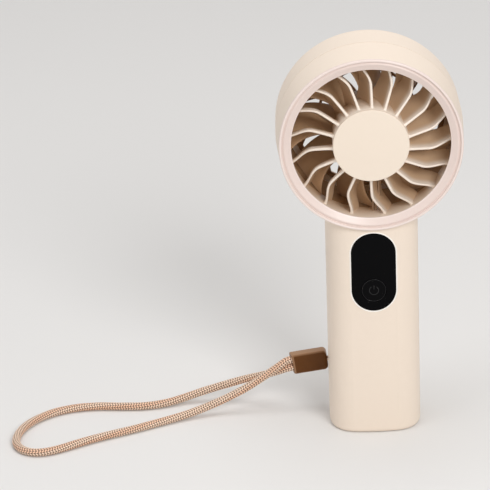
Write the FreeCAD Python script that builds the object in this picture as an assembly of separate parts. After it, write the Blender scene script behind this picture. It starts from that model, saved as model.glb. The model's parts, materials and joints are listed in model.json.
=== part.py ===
"""Handheld battery fan: ducted axial head, flat-faced handle, wrist strap.

Millimetres. +Z is up and the fan blows towards -Y. The origin is on the surface that the
handle stands on, under the middle of the head. The head's axis runs along Y at axis_height.
"""
import FreeCAD, Part
import math
import os
from FreeCAD import Rotation, Vector

# ---- Driving dimensions -------------------------------------------------------------------

# Whole fan
axis_height = 145.0          # base to the head's axis
head_radius = 42.5           # widest part of the barrel
head_depth = 42.6            # front lip to rear dome
parting_y = -2.0             # plane where the two shells meet
fit_gap = 0.05               # between pieces that seat in each other
running_gap = 0.02           # between the shaft and its bearings, radial

# Shells
wall = 2.0
front_taper = 1.1            # loss of radius from the parting plane to the front
rear_draft = 0.5             # loss of radius from the parting plane to the rear
rear_round = 5.5
front_flange = 1.8           # barrel's front wall
rear_flange = 2.0            # barrel's rear wall
lip_height = 1.2             # tongue of the front shell inside the rear one
base_round = 2.0
base_wall = 2.0
seam_width = 0.3             # shadow groove between the shells
seam_depth = 0.25

# Handle
handle_setback = 0.4         # handle's face behind the barrel's front end
face_crown = 75.0            # radius of the front and rear faces
side_crown = 30.0            # radius of the sides
corner_crown = 12.0          # radius of the corners between them

# Front ring
lip_rise = 1.3               # lip in front of the barrel's end
lip_width = 1.2
groove_drop = 0.6            # step behind the lip
ring_width = 5.5             # barrel's edge to the air opening
cone_drop = 2.1              # lip to the ring's inner edge
ring_nose = 0.8              # thickness of that edge

# Duct
duct_wall = 1.2
duct_gap = 0.5               # barrel's inside to the duct
duct_flange = 1.2            # thickness of the duct rings' outer flanges
insert_setback = 1.3         # guide insert behind the barrel's front end
insert_length = 15.7

# Guide vanes
vane_count = 18
vane_gap = 3.1               # degrees, the one wider step, beside the motor leads
vane_gap_turn = -102.5       # degrees, middle of that step from +X
vane_thickness = 1.15
vane_tail = 0.8              # thickness at the rear edge
vane_sweep = 2.4             # degrees, front edge's steady sweep from root to the opening's edge
vane_bend = 7.25             # degrees, its extra turn past the knee
vane_knee = 0.5              # where the bend starts, in shares of the vane's span
vane_knee_reach = 0.6        # span over which it eases in and out
vane_root_setback = 1.7      # front edge at the drum, behind the barrel's end
vane_lean = 5.8              # front edge at the opening's edge, behind the root
vane_inlet = 42.0            # degrees from the axis at the rear edge
vane_end_margin = 1.7        # insert's rear end behind the vanes
drum_radius = 17.2
drum_wall = 1.3
drum_setback = 0.6           # drum's front end behind the barrel's end
cap_thickness = 1.5
cap_spigot = 1.6

# Motor, from the guide insert's web rearwards
web_thickness = 1.6
web_setback = 11.4           # web's front face behind the barrel's end
tube_radius = 3.4
tube_bore = 1.7
tube_length = 14.8
tube_flange_radius = 6.6
tube_flange = 0.8
bearing_radius = 2.5
bearing_width = 2.3
shaft_radius = 1.0
shaft_length = 20.6
clip_radius = 2.1
clip_thickness = 0.4
core_length = 6.4
core_gap = 2.2               # motor board to core
core_ring = 1.6              # core's round back behind the teeth
tooth_count = 9
tooth_width = 1.7
tooth_tip = 0.9
slot_mouth = 1.2
coil_overhang = 1.2
coil_depth = 4.4
board_thickness = 1.0
motor_board_step = 0.4       # core's radius less the board's
air_gap = 0.5                # core to magnets
magnet_thickness = 1.4
yoke_wall = 0.8
motor_screw_circle = 5.1
motor_screw_radius = 0.65
motor_screw_head = 1.05

# Impeller
blade_count = 9
blade_thickness = 1.3
blade_sweep = 14.0           # degrees, middle of the blade from hub to tip
blade_hub_angle = 30.0       # degrees from the axis
blade_tip_angle = 57.0
blade_hub_depth = 13.6       # along the axis
blade_tip_depth = 11.2
blade_rest_turn = 8.0        # degrees, how the impeller stands at rest
tip_gap = 0.7
rotor_gap = 1.2              # guide insert's drum to the impeller
hub_step = 0.8               # drum's radius less the hub's
hub_wall = 2.2
nose_gap = 3.3               # hub's rear end to the grille's ribs
hub_boss_radius = 3.0

# Rear grille
grille_ring_width = 2.2
grille_flange = 0.9
grille_flange_width = 1.0    # beyond the opening in the rear shell
rib_count = 22
rib_width = 1.25
rib_depth = 1.9
rib_swirl = 26.0             # degrees from the hub to the ring
grille_hub_radius = 10.5
grille_mid_radius = 22.0
hook_count = 4
hook_width = 5.0
hook_catch = 0.7

# Display window and button
window_width = 20.6
window_height = 39.0
window_top_gap = 0.8         # window to the barrel
window_pocket = 1.1
window_recess = 0.15
window_ledge = 1.8
button_radius = 5.6
button_gap = 0.15
button_recess = 0.2
button_travel = 0.5
button_flange_radius = 6.6
button_flange = 0.8
button_boss_radius = 1.7
button_boss = 0.9

# Boards
board_margin = 0.7           # window's side to the board's
board_inset = 2.3            # window's lower end to the board's
board_drop = 4.7             # window's upper end to the board's
pcb_thickness = 1.2
switch_size = 5.0
switch_height = 1.5
plunger_radius = 1.1
plunger_length = 1.2         # whole plunger, partly inside the switch
plunger_rise = 0.6           # plunger in front of the switch
connector_height = 2.6
display_width = 12.0
display_thickness = 1.6
rib_rest = 1.3               # thickness of the ribs that the board rests on
board_screw_edge = 2.0       # screws to the board's side
board_screw_rise = 1.6       # screws above the board's lower edge
board_screw_radius = 0.6

# Battery
cell_radius = 9.2
cell_length = 64.8
cell_gap = 0.3
cell_clearance = 0.65        # to the handle's inside
cell_front_gap = 2.2         # control board to the cells
cell_rear_gap = 3.8          # cells to the handle's rear wall
cell_top_gap = 8.0           # cells to the barrel
tab_thickness = 0.15
tab_width = 6.0
cradle_plate = 1.5
cradle_gap = 0.25
spine_width = 8.0
spine_thickness = 2.0

# Charging socket and its board
socket_width = 8.94
socket_height = 3.26
socket_length = 7.3
socket_shell = 0.3
socket_tongue = 0.7
socket_height_above_base = 11.0
socket_recess = 0.5
charge_board_gap = 0.8       # to the screw bosses
charge_board_length = 19.0
post_width = 2.0
post_inset = 3.0             # posts to the board's side

# Case screws
screw_x = 12.0
screw_low_z = 7.0
screw_top_gap = 1.5          # upper screws to the barrel
screw_radius = 1.0
screw_length = 8.0
screw_grip = 4.0             # rear boss between the parting plane and the screw's head
screw_head_radius = 1.9
screw_head = 1.3
boss_wall = 1.0
plug_depth = 1.6

# Wrist strap
strap_drop = 0.5             # battery's lower cradle plate to the strap pin
pin_bearing = 52.0           # degrees, pin from the corner arc's centre, from -X towards +Y
pin_radius = 1.0
pin_inset = 3.0              # pin's axis under the handle's corner
pocket_width = 7.0
pocket_height = 4.4
pocket_behind = 3.0          # pocket behind the pin's axis
pocket_wall = 1.2
string_radius = 0.6
clamp_length = 17.4
clamp_height = 10.0
clamp_thickness = 5.4
clamp_edge = 0.75
clamp_end = 1.6              # rounding of the string end
clamp_tilt = 8.0             # degrees, string end above the cord end
clamp_pocket = 3.0
string_pocket = 6.0
cord_radius = 1.9
cord_spacing = 3.9
clamp_offset = Vector(-15.7, 4.1, -1.2)  # clamp's middle from the pin's

# Wires
wire_radius = 0.45
wire_pitch = 1.3
lead_aside = 2.2             # motor leads beside the handle's middle, behind a vane
lead_depth = 5.5             # battery leads in front of the cells' middle
lead_side = 3.0              # and beside the handle's middle
lead_jog = 1.5               # battery leads' step to the rear
lead_rise = 4.0              # board leads' straight ends
lead_bend = 7.0              # height over which board leads step to the front

# ---- Places worked out from the dimensions above --------------------------------------------

front_lip_y = -head_depth / 2
rear_dome_y = head_depth / 2
seam_y = front_lip_y + lip_rise                      # barrel's front end
grille_rise = 2.3                                    # grille's dome behind the rear shell
shell_rear_y = rear_dome_y - grille_rise
handle_face_y = seam_y + handle_setback
handle_top = axis_height - 0.7 * head_radius         # hidden end inside the barrel
barrel_low = axis_height - head_radius
rim_radius = head_radius - front_taper
opening_radius = rim_radius - ring_width
duct_outer = rim_radius - wall - duct_gap
duct_radius = duct_outer - duct_wall
grille_bore = head_radius - rear_draft - rear_round - grille_flange_width
insert_y = seam_y + insert_setback
insert_end_y = insert_y + insert_length
vane_end_y = insert_end_y - vane_end_margin - 2.6
drum_y = seam_y + drum_setback
drum_end_y = vane_end_y + vane_end_margin
web_y = seam_y + web_setback
web_end_y = web_y + web_thickness
hub_radius = drum_radius - hub_step
yoke_outer = hub_radius - hub_wall - fit_gap
magnet_outer = yoke_outer - yoke_wall - fit_gap
magnet_inner = magnet_outer - magnet_thickness
core_radius = magnet_inner - air_gap
motor_board_radius = core_radius - motor_board_step
motor_board_y = web_end_y + 0.2
core_y = motor_board_y + board_thickness + core_gap
core_end_y = core_y + core_length
rotor_y = drum_end_y + rotor_gap
tube_y = web_y - tube_flange
tube_end_y = tube_y + tube_length
hub_wall_y = tube_end_y + 0.3
nose_y = shell_rear_y + grille_flange - rib_depth - nose_gap
nose_round = nose_y - hub_wall_y                     # rounding of the hub's rear end
shaft_y = tube_y - 1.8
window_low = barrel_low - window_top_gap - window_height
window_center_z = window_low + window_height / 2
button_z = window_low + window_width / 2
window_back_y = handle_face_y + window_pocket
flange_y = window_back_y + 0.45
boss_end_y = flange_y + button_flange + button_boss
switch_y = boss_end_y + 0.05 + plunger_rise
board_y = switch_y + switch_height
board_back_y = board_y + pcb_thickness
board_low = window_low + board_inset
board_high = window_low + window_height - board_drop
board_width = window_width - 2 * board_margin
display_low = button_z + button_flange_radius + 1.2
display_high = board_high - connector_height - 1.2
cell_x = cell_radius + cell_gap / 2
cell_high = barrel_low - cell_top_gap
cell_low = cell_high - cell_length
cell_center_y = board_back_y + cell_front_gap + cell_radius
handle_width = 2 * (cell_x + cell_radius + cell_clearance + wall)
handle_rear_y = cell_center_y + cell_radius + cell_rear_gap + wall
handle_depth = handle_rear_y - handle_face_y
handle_center_y = handle_face_y + handle_depth / 2
charge_board_z = socket_height_above_base - socket_height / 2 - pcb_thickness
screw_high_z = barrel_low - screw_top_gap
screw_sleeve = screw_head_radius + 0.3 + boss_wall   # outside of the rear shell's bosses
charge_board_width = 2 * (screw_x - screw_sleeve - charge_board_gap)
screw_seat_y = parting_y + screw_grip

pin_reach = pocket_height / 2 + pocket_wall - 0.25   # half the strap pin's length
strap_height = cell_low - tab_thickness - cradle_plate - strap_drop - pin_reach

# Route of the strap's cord outside its clamp, from the upper strand round to the lower one,
# for a string at route_height
route_height = 24.4
strap_route = [
    (-43.0, 11.2, 22.0), (-50.0, 9.6, 17.7), (-57.0, 8.3, 13.5), (-64.5, 7.2, 9.7),
    (-74.0, 5.6, 5.9), (-84.0, 2.9, 3.1), (-94.4, -1.4, 1.95), (-104.6, -6.4, 1.92),
    (-114.6, -11.4, 1.92), (-124.7, -15.6, 1.92), (-135.0, -20.6, 1.92), (-144.2, -26.2, 1.92),
    (-151.6, -30.0, 1.92), (-159.0, -30.9, 1.92), (-164.9, -27.0, 1.92), (-167.7, -20.3, 1.92),
    (-167.2, -11.8, 1.92), (-163.9, -3.4, 1.92), (-158.3, 3.9, 1.92), (-150.8, 9.8, 1.92),
    (-141.3, 13.5, 1.92), (-130.8, 14.5, 1.92), (-120.0, 13.3, 1.92), (-110.0, 12.5, 1.92),
    (-99.8, 14.0, 1.95), (-89.8, 17.6, 2.9), (-79.6, 19.8, 5.4), (-69.0, 19.5, 8.6),
    (-59.5, 17.8, 12.0), (-50.8, 15.0, 15.0), (-43.6, 12.8, 18.2),
]


# ---- Helpers --------------------------------------------------------------------------------

def polar(radius, degrees, y):
    """Point at a radius and angle about the head's axis; the angle runs from +X towards +Z."""
    turn = math.radians(degrees)
    return Vector(radius * math.cos(turn), y, axis_height + radius * math.sin(turn))


def on_plan(z):
    """Maps section coordinates to a horizontal plane."""
    return lambda a, b: Vector(a, b, z)


def on_front(y):
    """Maps section coordinates to an upright plane that faces the front."""
    return lambda a, b: Vector(a, y, b)


def rounded_wire(corners, place):
    """Closed wire through corners (a, b, radius), each rounded by its own radius."""
    points = [Vector(a, b, 0) for a, b, _ in corners]
    ends = []
    for i, (_, _, radius) in enumerate(corners):
        here, before, after = points[i], points[i - 1], points[(i + 1) % len(points)]
        if radius <= 0:
            ends.append((here, None, here))
            continue
        back, ahead = (before - here).normalize(), (after - here).normalize()
        half = back.getAngle(ahead) / 2
        middle = (back + ahead).normalize()
        reach = radius / math.tan(half)
        bulge = here + middle * (radius / math.sin(half) - radius)
        ends.append((here + back * reach, bulge, here + ahead * reach))
    edges = []
    for i, (start, bulge, stop) in enumerate(ends):
        following = ends[(i + 1) % len(ends)][0]
        if bulge is not None:
            arc = [place(p.x, p.y) for p in (start, bulge, stop)]
            edges.append(Part.Arc(*arc).toShape())
        if (following - stop).Length > 1e-6:
            edges.append(Part.makeLine(place(stop.x, stop.y), place(following.x, following.y)))
    return Part.Wire(edges)


def turned(corners):
    """Solid of revolution about the head's axis from (radius, y) or (radius, y, rounding)."""
    full = [(c + (0,))[:3] for c in corners]
    face = Part.Face(rounded_wire(full, on_plan(axis_height)))
    return face.revolve(Vector(0, 0, axis_height), Vector(0, 1, 0), 360)


def head_disc(radius, y_from, y_to):
    return Part.makeCylinder(radius, y_to - y_from, Vector(0, y_from, axis_height), Vector(0, 1, 0))


def head_tube(outer, inner, y_from, y_to):
    return turned([(inner, y_from), (outer, y_from), (outer, y_to), (inner, y_to)])


def rod(radius, start, stop):
    """Cylinder between two points."""
    along = stop - start
    return Part.makeCylinder(radius, along.Length, start, along)


def block(x_from, x_to, y_from, y_to, z_from, z_to):
    return Part.makeBox(x_to - x_from, y_to - y_from, z_to - z_from, Vector(x_from, y_from, z_from))


def half_space(front):
    """Everything in front of, or behind, the shells' parting plane."""
    reach = 4 * head_radius
    y_from, y_to = (-reach, parting_y) if front else (parting_y, reach)
    return block(-reach, reach, y_from, y_to, -reach, axis_height + reach)


def fuse_all(shapes):
    return shapes[0].multiFuse(shapes[1:]).removeSplitter() if len(shapes) > 1 else shapes[0]


def compound(shapes):
    return Part.makeCompound(shapes)


def capsule(width, height, center_z, y_from, y_to):
    """Upright capsule-shaped prism."""
    half, low, high = width / 2, center_z - height / 2, center_z + height / 2
    round_ = half - 1e-3
    corners = [(-half, low, round_), (half, low, round_), (half, high, round_), (-half, high, round_)]
    face = Part.Face(rounded_wire(corners, on_front(y_from)))
    return face.extrude(Vector(0, y_to - y_from, 0))


def corner_center():
    """Centre of the handle section's corner arc, from the middle of the section."""
    face_c = Vector(0, handle_depth / 2 - face_crown, 0)
    side_c = Vector(handle_width / 2 - side_crown, 0, 0)
    to_face, to_side = face_crown - corner_crown, side_crown - corner_crown
    apart = (side_c - face_c).Length
    along = (to_face ** 2 - to_side ** 2 + apart ** 2) / (2 * apart)
    aside = math.sqrt(to_face ** 2 - along ** 2)
    ahead = (side_c - face_c).normalize()
    across = Vector(ahead.y, -ahead.x, 0)
    return face_c + ahead * along + across * aside


def handle_wire(inset, z):
    """Handle section at a height, moved inwards by inset: eight arcs, tangent to each other."""
    face_c = Vector(0, handle_depth / 2 - face_crown, 0)
    side_c = Vector(handle_width / 2 - side_crown, 0, 0)
    corner_c = corner_center()
    from_face, from_side = (corner_c - face_c).normalize(), (corner_c - side_c).normalize()
    radius = corner_crown - inset
    on_face, on_side = corner_c + from_face * radius, corner_c + from_side * radius
    on_corner = corner_c + (from_face + from_side).normalize() * radius

    def at(point, x_sign, y_sign):
        return Vector(point.x * x_sign, handle_center_y + point.y * y_sign, z)

    rear, side = Vector(0, handle_depth / 2 - inset, 0), Vector(handle_width / 2 - inset, 0, 0)
    arcs = [
        (at(on_side, 1, -1), at(side, 1, 1), at(on_side, 1, 1)),
        (at(on_side, 1, 1), at(on_corner, 1, 1), at(on_face, 1, 1)),
        (at(on_face, 1, 1), at(rear, 1, 1), at(on_face, -1, 1)),
        (at(on_face, -1, 1), at(on_corner, -1, 1), at(on_side, -1, 1)),
        (at(on_side, -1, 1), at(side, -1, 1), at(on_side, -1, -1)),
        (at(on_side, -1, -1), at(on_corner, -1, -1), at(on_face, -1, -1)),
        (at(on_face, -1, -1), at(rear, 1, -1), at(on_face, 1, -1)),
        (at(on_face, 1, -1), at(on_corner, 1, -1), at(on_side, 1, -1)),
    ]
    return Part.Wire([Part.Arc(*arc).toShape() for arc in arcs])


def handle_prism(inset, z_from, z_to):
    return Part.Face(handle_wire(inset, z_from)).extrude(Vector(0, 0, z_to - z_from))


def bent_tube(points, radius):
    """Round tube along straight runs joined by tangent arcs; prints its tightest bend."""
    points = [Vector(*p) for p in points]
    edges, here, bends = [], points[0], []
    for before, corner, after in zip(points, points[1:], points[2:]):
        back, ahead = (before - corner), (after - corner)
        turn = math.pi - back.getAngle(ahead)
        reach = 0.45 * min(back.Length, ahead.Length)
        bend = reach / math.tan(turn / 2)
        bends.append(bend)
        back.normalize()
        ahead.normalize()
        start, stop = corner + back * reach, corner + ahead * reach
        inward = (back + ahead).normalize()
        bulge = corner + inward * (bend / math.cos(turn / 2) - bend)
        edges.append(Part.LineSegment(here, start).toShape())
        edges.append(Part.Arc(start, bulge, stop).toShape())
        here = stop
    edges.append(Part.LineSegment(here, points[-1]).toShape())
    path = Part.Wire(edges)
    first = (points[1] - points[0]).normalize()
    ring = Part.Wire([Part.makeCircle(radius, points[0], first)])
    tube = path.makePipeShell([ring], True, False)
    if tube.Volume < 0:
        tube.reverse()
    expected = math.pi * radius ** 2 * path.Length
    print("tube length %.1f, volume %.1f of %.1f, tightest bends %s"
          % (path.Length, tube.Volume, expected, [round(b, 1) for b in sorted(bends)[:4]]))
    return tube


# ---- Shells ---------------------------------------------------------------------------------

def barrel(inset):
    """The head's outer form, or its inside when moved inwards by the wall."""
    front_y = seam_y + (front_flange if inset else 0)
    rear_y = shell_rear_y - (rear_flange if inset else 0)
    return turned([
        (0, front_y), (rim_radius - inset, front_y), (head_radius - inset, parting_y),
        (head_radius - rear_draft - inset, rear_y, rear_round - inset), (0, rear_y),
    ])


def body_form(inset, floor=base_wall):
    """Barrel and handle in one, moved inwards by inset and, at the base, by floor."""
    if not inset:
        handle = handle_prism(0, 0, handle_top)
        low = [e for e in handle.Edges if e.BoundBox.ZMax < 1e-6]
        handle = handle.makeFillet(base_round, low)
    else:
        handle = handle_prism(inset, floor, handle_top)
    return barrel(inset).fuse(handle)


def seam_groove():
    """Shadow groove all round the joint between the shells."""
    slab = block(-2 * head_radius, 2 * head_radius, parting_y - seam_width / 2,
                 parting_y + seam_width / 2, -1, 2 * axis_height)
    return slab.cut(body_form(seam_depth, seam_depth))


def screw_places():
    """The case screws' (x, z)."""
    return [(side * screw_x, z) for z in (screw_low_z, screw_high_z) for side in (-1, 1)]


def pin_center():
    """Middle of the strap pin, under the rear left corner of the handle."""
    corner = corner_center()
    corner = Vector(-corner.x, handle_center_y + corner.y, 0)
    bearing = math.radians(pin_bearing)
    outwards = Vector(-math.cos(bearing), math.sin(bearing), 0)
    middle = corner + outwards * (corner_crown - pin_inset)
    return Vector(middle.x, middle.y, strap_height)


def strap_direction():
    """Level direction from the pin towards the clamp's near end."""
    near = clamp_place(clamp_length / 2, 0) - pin_center()
    near.z = 0
    return near.normalize()


def strap_box(grow, outwards):
    """Box round the strap pin, lined up with the string and open towards it."""
    width, height = pocket_width + 2 * grow, pocket_height + 2 * grow
    behind = pocket_behind + grow
    box = Part.makeBox(behind + outwards, width, height, Vector(-behind, -width / 2, -height / 2))
    turn = Rotation(Vector(1, 0, 0), strap_direction())
    box.Placement = FreeCAD.Placement(pin_center(), turn).multiply(box.Placement)
    return box


def shell_pair():
    """Front and rear shells, split at the parting plane with a tongue between them."""
    inside = body_form(wall)
    hollow = body_form(0).cut(compound([inside, seam_groove()]))
    tongue_form = body_form(wall / 2)
    tongue_slab = block(-2 * head_radius, 2 * head_radius, parting_y - 0.01, parting_y + lip_height,
                        base_wall / 2, 2 * axis_height)
    groove_slab = tongue_slab.copy()
    tongue = tongue_form.common(tongue_slab).cut(inside)
    groove = body_form(wall / 2 - fit_gap).common(groove_slab).cut(inside)
    return (hollow.common(half_space(True)).fuse(tongue),
            hollow.common(half_space(False)).cut(groove))


def front_shell(blank):
    face_y = handle_face_y - 1
    ribs = [block(side * x - rib_rest / 2, side * x + rib_rest / 2, handle_face_y + wall / 2,
                  board_y, board_low + 1, board_high - 1)
            for side in (-1, 1) for x in [window_width / 2 - window_ledge + rib_rest / 2 + 0.05]]
    bosses = [rod(screw_radius + 1.5 * boss_wall, Vector(x, handle_face_y + wall / 2, z),
                  Vector(x, parting_y - fit_gap, z)) for x, z in screw_places()]
    bosses += [rod(board_screw_radius + boss_wall, p, p + Vector(0, board_y - p.y, 0))
               for p in board_screw_places(handle_face_y + wall / 2)]
    kept = [shape.common(handle_prism(wall / 2, 0, handle_top)) for shape in ribs + bosses]
    shell = fuse_all([blank] + kept)
    pocket = capsule(window_width, window_height, window_center_z, face_y, parting_y - 6)
    pocket = pocket.cut(handle_prism(window_pocket, 0, axis_height))
    through = capsule(window_width - 2 * window_ledge, window_height - 2 * window_ledge,
                      window_center_z, face_y, handle_face_y + wall + 1)
    bore = head_disc(duct_outer + 6 * fit_gap, seam_y - 1, seam_y + front_flange + 1)
    pilots = [rod(screw_radius - 0.15, Vector(x, screw_seat_y - screw_length - 1, z),
                  Vector(x, parting_y + 1, z)) for x, z in screw_places()]
    pilots += [rod(board_screw_radius + fit_gap, p, p + Vector(0, 3.2, 0))
               for p in board_screw_places(board_y - 2.6)]
    return shell.cut(compound([pocket, through, bore] + pilots))


def rear_shell(blank):
    rear_y = handle_rear_y
    bosses = [rod(screw_sleeve, Vector(x, parting_y + fit_gap, z), Vector(x, rear_y, z))
              for x, z in screw_places()]
    post_x = charge_board_width / 2 - post_inset
    posts = [block(side * post_x - post_width / 2, side * post_x + post_width / 2, parting_y + 2,
                   rear_y - wall - 1, base_wall / 2, charge_board_z) for side in (-1, 1)]
    strap_block = strap_box(pocket_wall, corner_crown)
    behind = half_space(False)
    kept = [shape.common(handle_prism(wall / 2, 0, handle_top)).common(behind)
            for shape in bosses + posts + [strap_block]]
    shell = fuse_all([blank] + kept)
    shanks = [rod(screw_radius + 0.1, Vector(x, parting_y - 1, z), Vector(x, rear_y, z))
              for x, z in screw_places()]
    counterbores = [rod(screw_head_radius + 0.3, Vector(x, screw_seat_y, z), Vector(x, rear_y + 1, z))
                    for x, z in screw_places()]
    opening = head_disc(grille_bore, shell_rear_y - rear_flange - 1, shell_rear_y + 1)
    port = port_prism(0.2, rear_y - wall - 2, rear_y + 1)
    pin = pin_center()
    seat_reach = Vector(0, 0, pin_reach + fit_gap)
    seat = rod(pin_radius + fit_gap, pin - seat_reach, pin + seat_reach)
    cuts = shanks + counterbores + [opening, port, strap_box(0, 2 * corner_crown), seat]
    return shell.cut(compound(cuts))


# ---- Head -----------------------------------------------------------------------------------

def front_ring():
    """Trim ring: raised lip, step behind it, then a cone down to the air opening."""
    inner_lip = rim_radius - lip_width
    groove_y = front_lip_y + groove_drop
    edge_y = front_lip_y + cone_drop
    spigot = duct_outer + 4 * fit_gap
    back_y = insert_y - fit_gap
    return turned([
        (rim_radius, seam_y), (rim_radius, front_lip_y, 0.5), (inner_lip, front_lip_y, 0.35),
        (inner_lip - 0.15, groove_y, 0.12), (opening_radius, edge_y, 0.35),
        (opening_radius, edge_y + ring_nose, 0.2), (duct_radius - 0.5, back_y),
        (spigot, back_y), (spigot, seam_y),
    ])


def vane_angle(radius):
    """Front edge of a vane: its angle past the root, in degrees, swept steadily and bent past a knee."""
    share = (radius - drum_radius) / (opening_radius - drum_radius)
    bent = min(max((share - vane_knee) / vane_knee_reach, 0), 1)
    return vane_sweep * share + vane_bend * bent ** 2 * (3 - 2 * bent)


def vane_front(radius):
    share = (radius - drum_radius) / (opening_radius - drum_radius)
    return seam_y + vane_root_setback + vane_lean * (1.38 * share - 0.38 * share ** 2)


def blade_section(radius, degrees, line):
    """Flat closed section across a blade: line holds (aside, y, thickness) from one edge to the other."""
    turn = math.radians(degrees)
    outwards = Vector(math.cos(turn), 0, math.sin(turn))
    aside = Vector(-math.sin(turn), 0, math.cos(turn))
    middle = Vector(0, 0, axis_height) + outwards * radius
    left = [middle + aside * (a + t / 2) + Vector(0, y, 0) for a, y, t in line]
    right = [middle + aside * (a - t / 2) + Vector(0, y, 0) for a, y, t in line]
    one, two = Part.BSplineCurve(), Part.BSplineCurve()
    one.interpolate(left)
    two.interpolate(right[::-1])
    return Part.Wire([one.toShape(), Part.makeLine(left[-1], right[-1]), two.toShape(),
                      Part.makeLine(right[0], left[0])])


def guide_vane(degrees):
    """One vane: straight at the front edge, turned into the impeller's swirl at the rear edge."""
    sections = []
    low, high, steps = drum_radius - 0.7 * drum_wall, duct_outer + 0.4, 9
    for i in range(steps):
        radius = low + (high - low) * i / (steps - 1)
        front = vane_front(radius)
        depth = vane_end_y - front
        line = []
        for share in (0, 0.35, 0.7, 1):
            aside = depth * math.tan(math.radians(vane_inlet) / 2) * share ** 2
            thick = vane_thickness + (vane_tail - vane_thickness) * share
            line.append((aside, front + depth * share, thick))
        sections.append(blade_section(radius, degrees + vane_angle(radius), line))
    return Part.makeLoft(sections, True)


def guide_vanes():
    """Guide insert: drum, web for the motor, vanes and the duct's front half, in one moulding."""
    drum = head_tube(drum_radius, drum_radius - drum_wall, drum_y, drum_end_y)
    web = head_tube(drum_radius - drum_wall / 2, tube_radius + fit_gap, web_y, web_end_y)
    duct = head_tube(duct_outer, duct_radius, insert_y, insert_end_y)
    flange_radius = rim_radius - wall - 0.3
    flange_front = seam_y + front_flange + fit_gap
    flange = head_tube(flange_radius, duct_radius + duct_wall / 2, flange_front, flange_front + duct_flange)
    step = (360 - vane_gap) / vane_count
    first = vane_gap_turn - (step + vane_gap) / 2
    vanes = [guide_vane(first - i * step) for i in range(vane_count)]
    limit = head_tube(duct_radius + duct_wall / 2, drum_radius - drum_wall / 2, seam_y, insert_end_y)
    vanes = [vane.common(limit) for vane in vanes]
    insert = fuse_all([drum, web, duct, flange] + vanes)
    screws = [rod(motor_screw_radius + running_gap, p, p + Vector(0, web_thickness + 2, 0))
              for p in motor_screw_places(web_y - 1)]
    reach = 1.5 * wire_pitch + wire_radius
    wire_y = lead_y()
    slot = block(lead_aside - reach, lead_aside + reach, wire_y - wire_radius - 0.2, drum_end_y + 1,
                 axis_height - drum_radius - 1, axis_height - motor_board_radius)
    duct_slot = block(lead_aside - reach, lead_aside + reach, wire_y - 4 * wire_radius, wire_y + wire_radius + 0.2,
                      axis_height - duct_outer - 1, axis_height - duct_radius + 1)
    return insert.cut(compound(screws + [slot, duct_slot]))


def hub_cap():
    """Plain disc that closes the drum, held by a spigot."""
    spigot = drum_radius - drum_wall - fit_gap
    front_y = drum_y - cap_thickness
    return turned([
        (0, front_y), (drum_radius, front_y, 0.45), (drum_radius, drum_y - fit_gap),
        (spigot, drum_y - fit_gap), (spigot, drum_y + cap_spigot), (spigot - 1.1, drum_y + cap_spigot),
        (spigot - 1.1, drum_y - fit_gap), (0, drum_y - fit_gap),
    ])


def impeller_duct():
    """Duct's rear half, between the guide insert and the rear shell."""
    inner_round = rear_round - wall
    round_center = head_radius - rear_draft - wall - inner_round
    seat_depth = math.sqrt(inner_round ** 2 - (duct_outer - round_center) ** 2)
    start = insert_end_y + fit_gap
    stop = shell_rear_y - rear_flange - inner_round + seat_depth - 2 * fit_gap
    flange_radius = head_radius - rear_draft - wall - 0.3
    flange_end = shell_rear_y - rear_round - 0.3
    return turned([
        (duct_radius, start), (duct_outer, start), (duct_outer, flange_end - duct_flange),
        (flange_radius, flange_end - duct_flange), (flange_radius, flange_end),
        (duct_outer, flange_end), (duct_outer, stop), (duct_radius, stop),
    ])


def grille_rib(degrees):
    """One curved rib from the grille's hub to its ring."""
    low, high = grille_hub_radius - 0.6, grille_bore - grille_ring_width - fit_gap + 0.6
    middle = (low + high) / 2
    ends = [(low, degrees), (middle, degrees + 0.36 * rib_swirl), (high, degrees + rib_swirl)]
    front_y = shell_rear_y + grille_flange - rib_depth

    def edge(side):
        points = []
        for radius, angle in ends:
            lean = math.radians(52)
            across = polar(1, angle + 90, 0) - polar(0, 0, 0)
            outwards = polar(1, angle, 0) - polar(0, 0, 0)
            offset = (across * math.cos(lean / 2) - outwards * math.sin(lean / 2)) * (side * rib_width / 2)
            points.append(polar(radius, angle, front_y) + offset)
        return points

    left, right = edge(1), edge(-1)
    wire = Part.Wire([
        Part.Arc(*left).toShape(), Part.makeLine(left[2], right[2]),
        Part.Arc(right[2], right[1], right[0]).toShape(), Part.makeLine(right[0], left[0]),
    ])
    return Part.Face(wire).extrude(Vector(0, rib_depth, 0))


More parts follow.
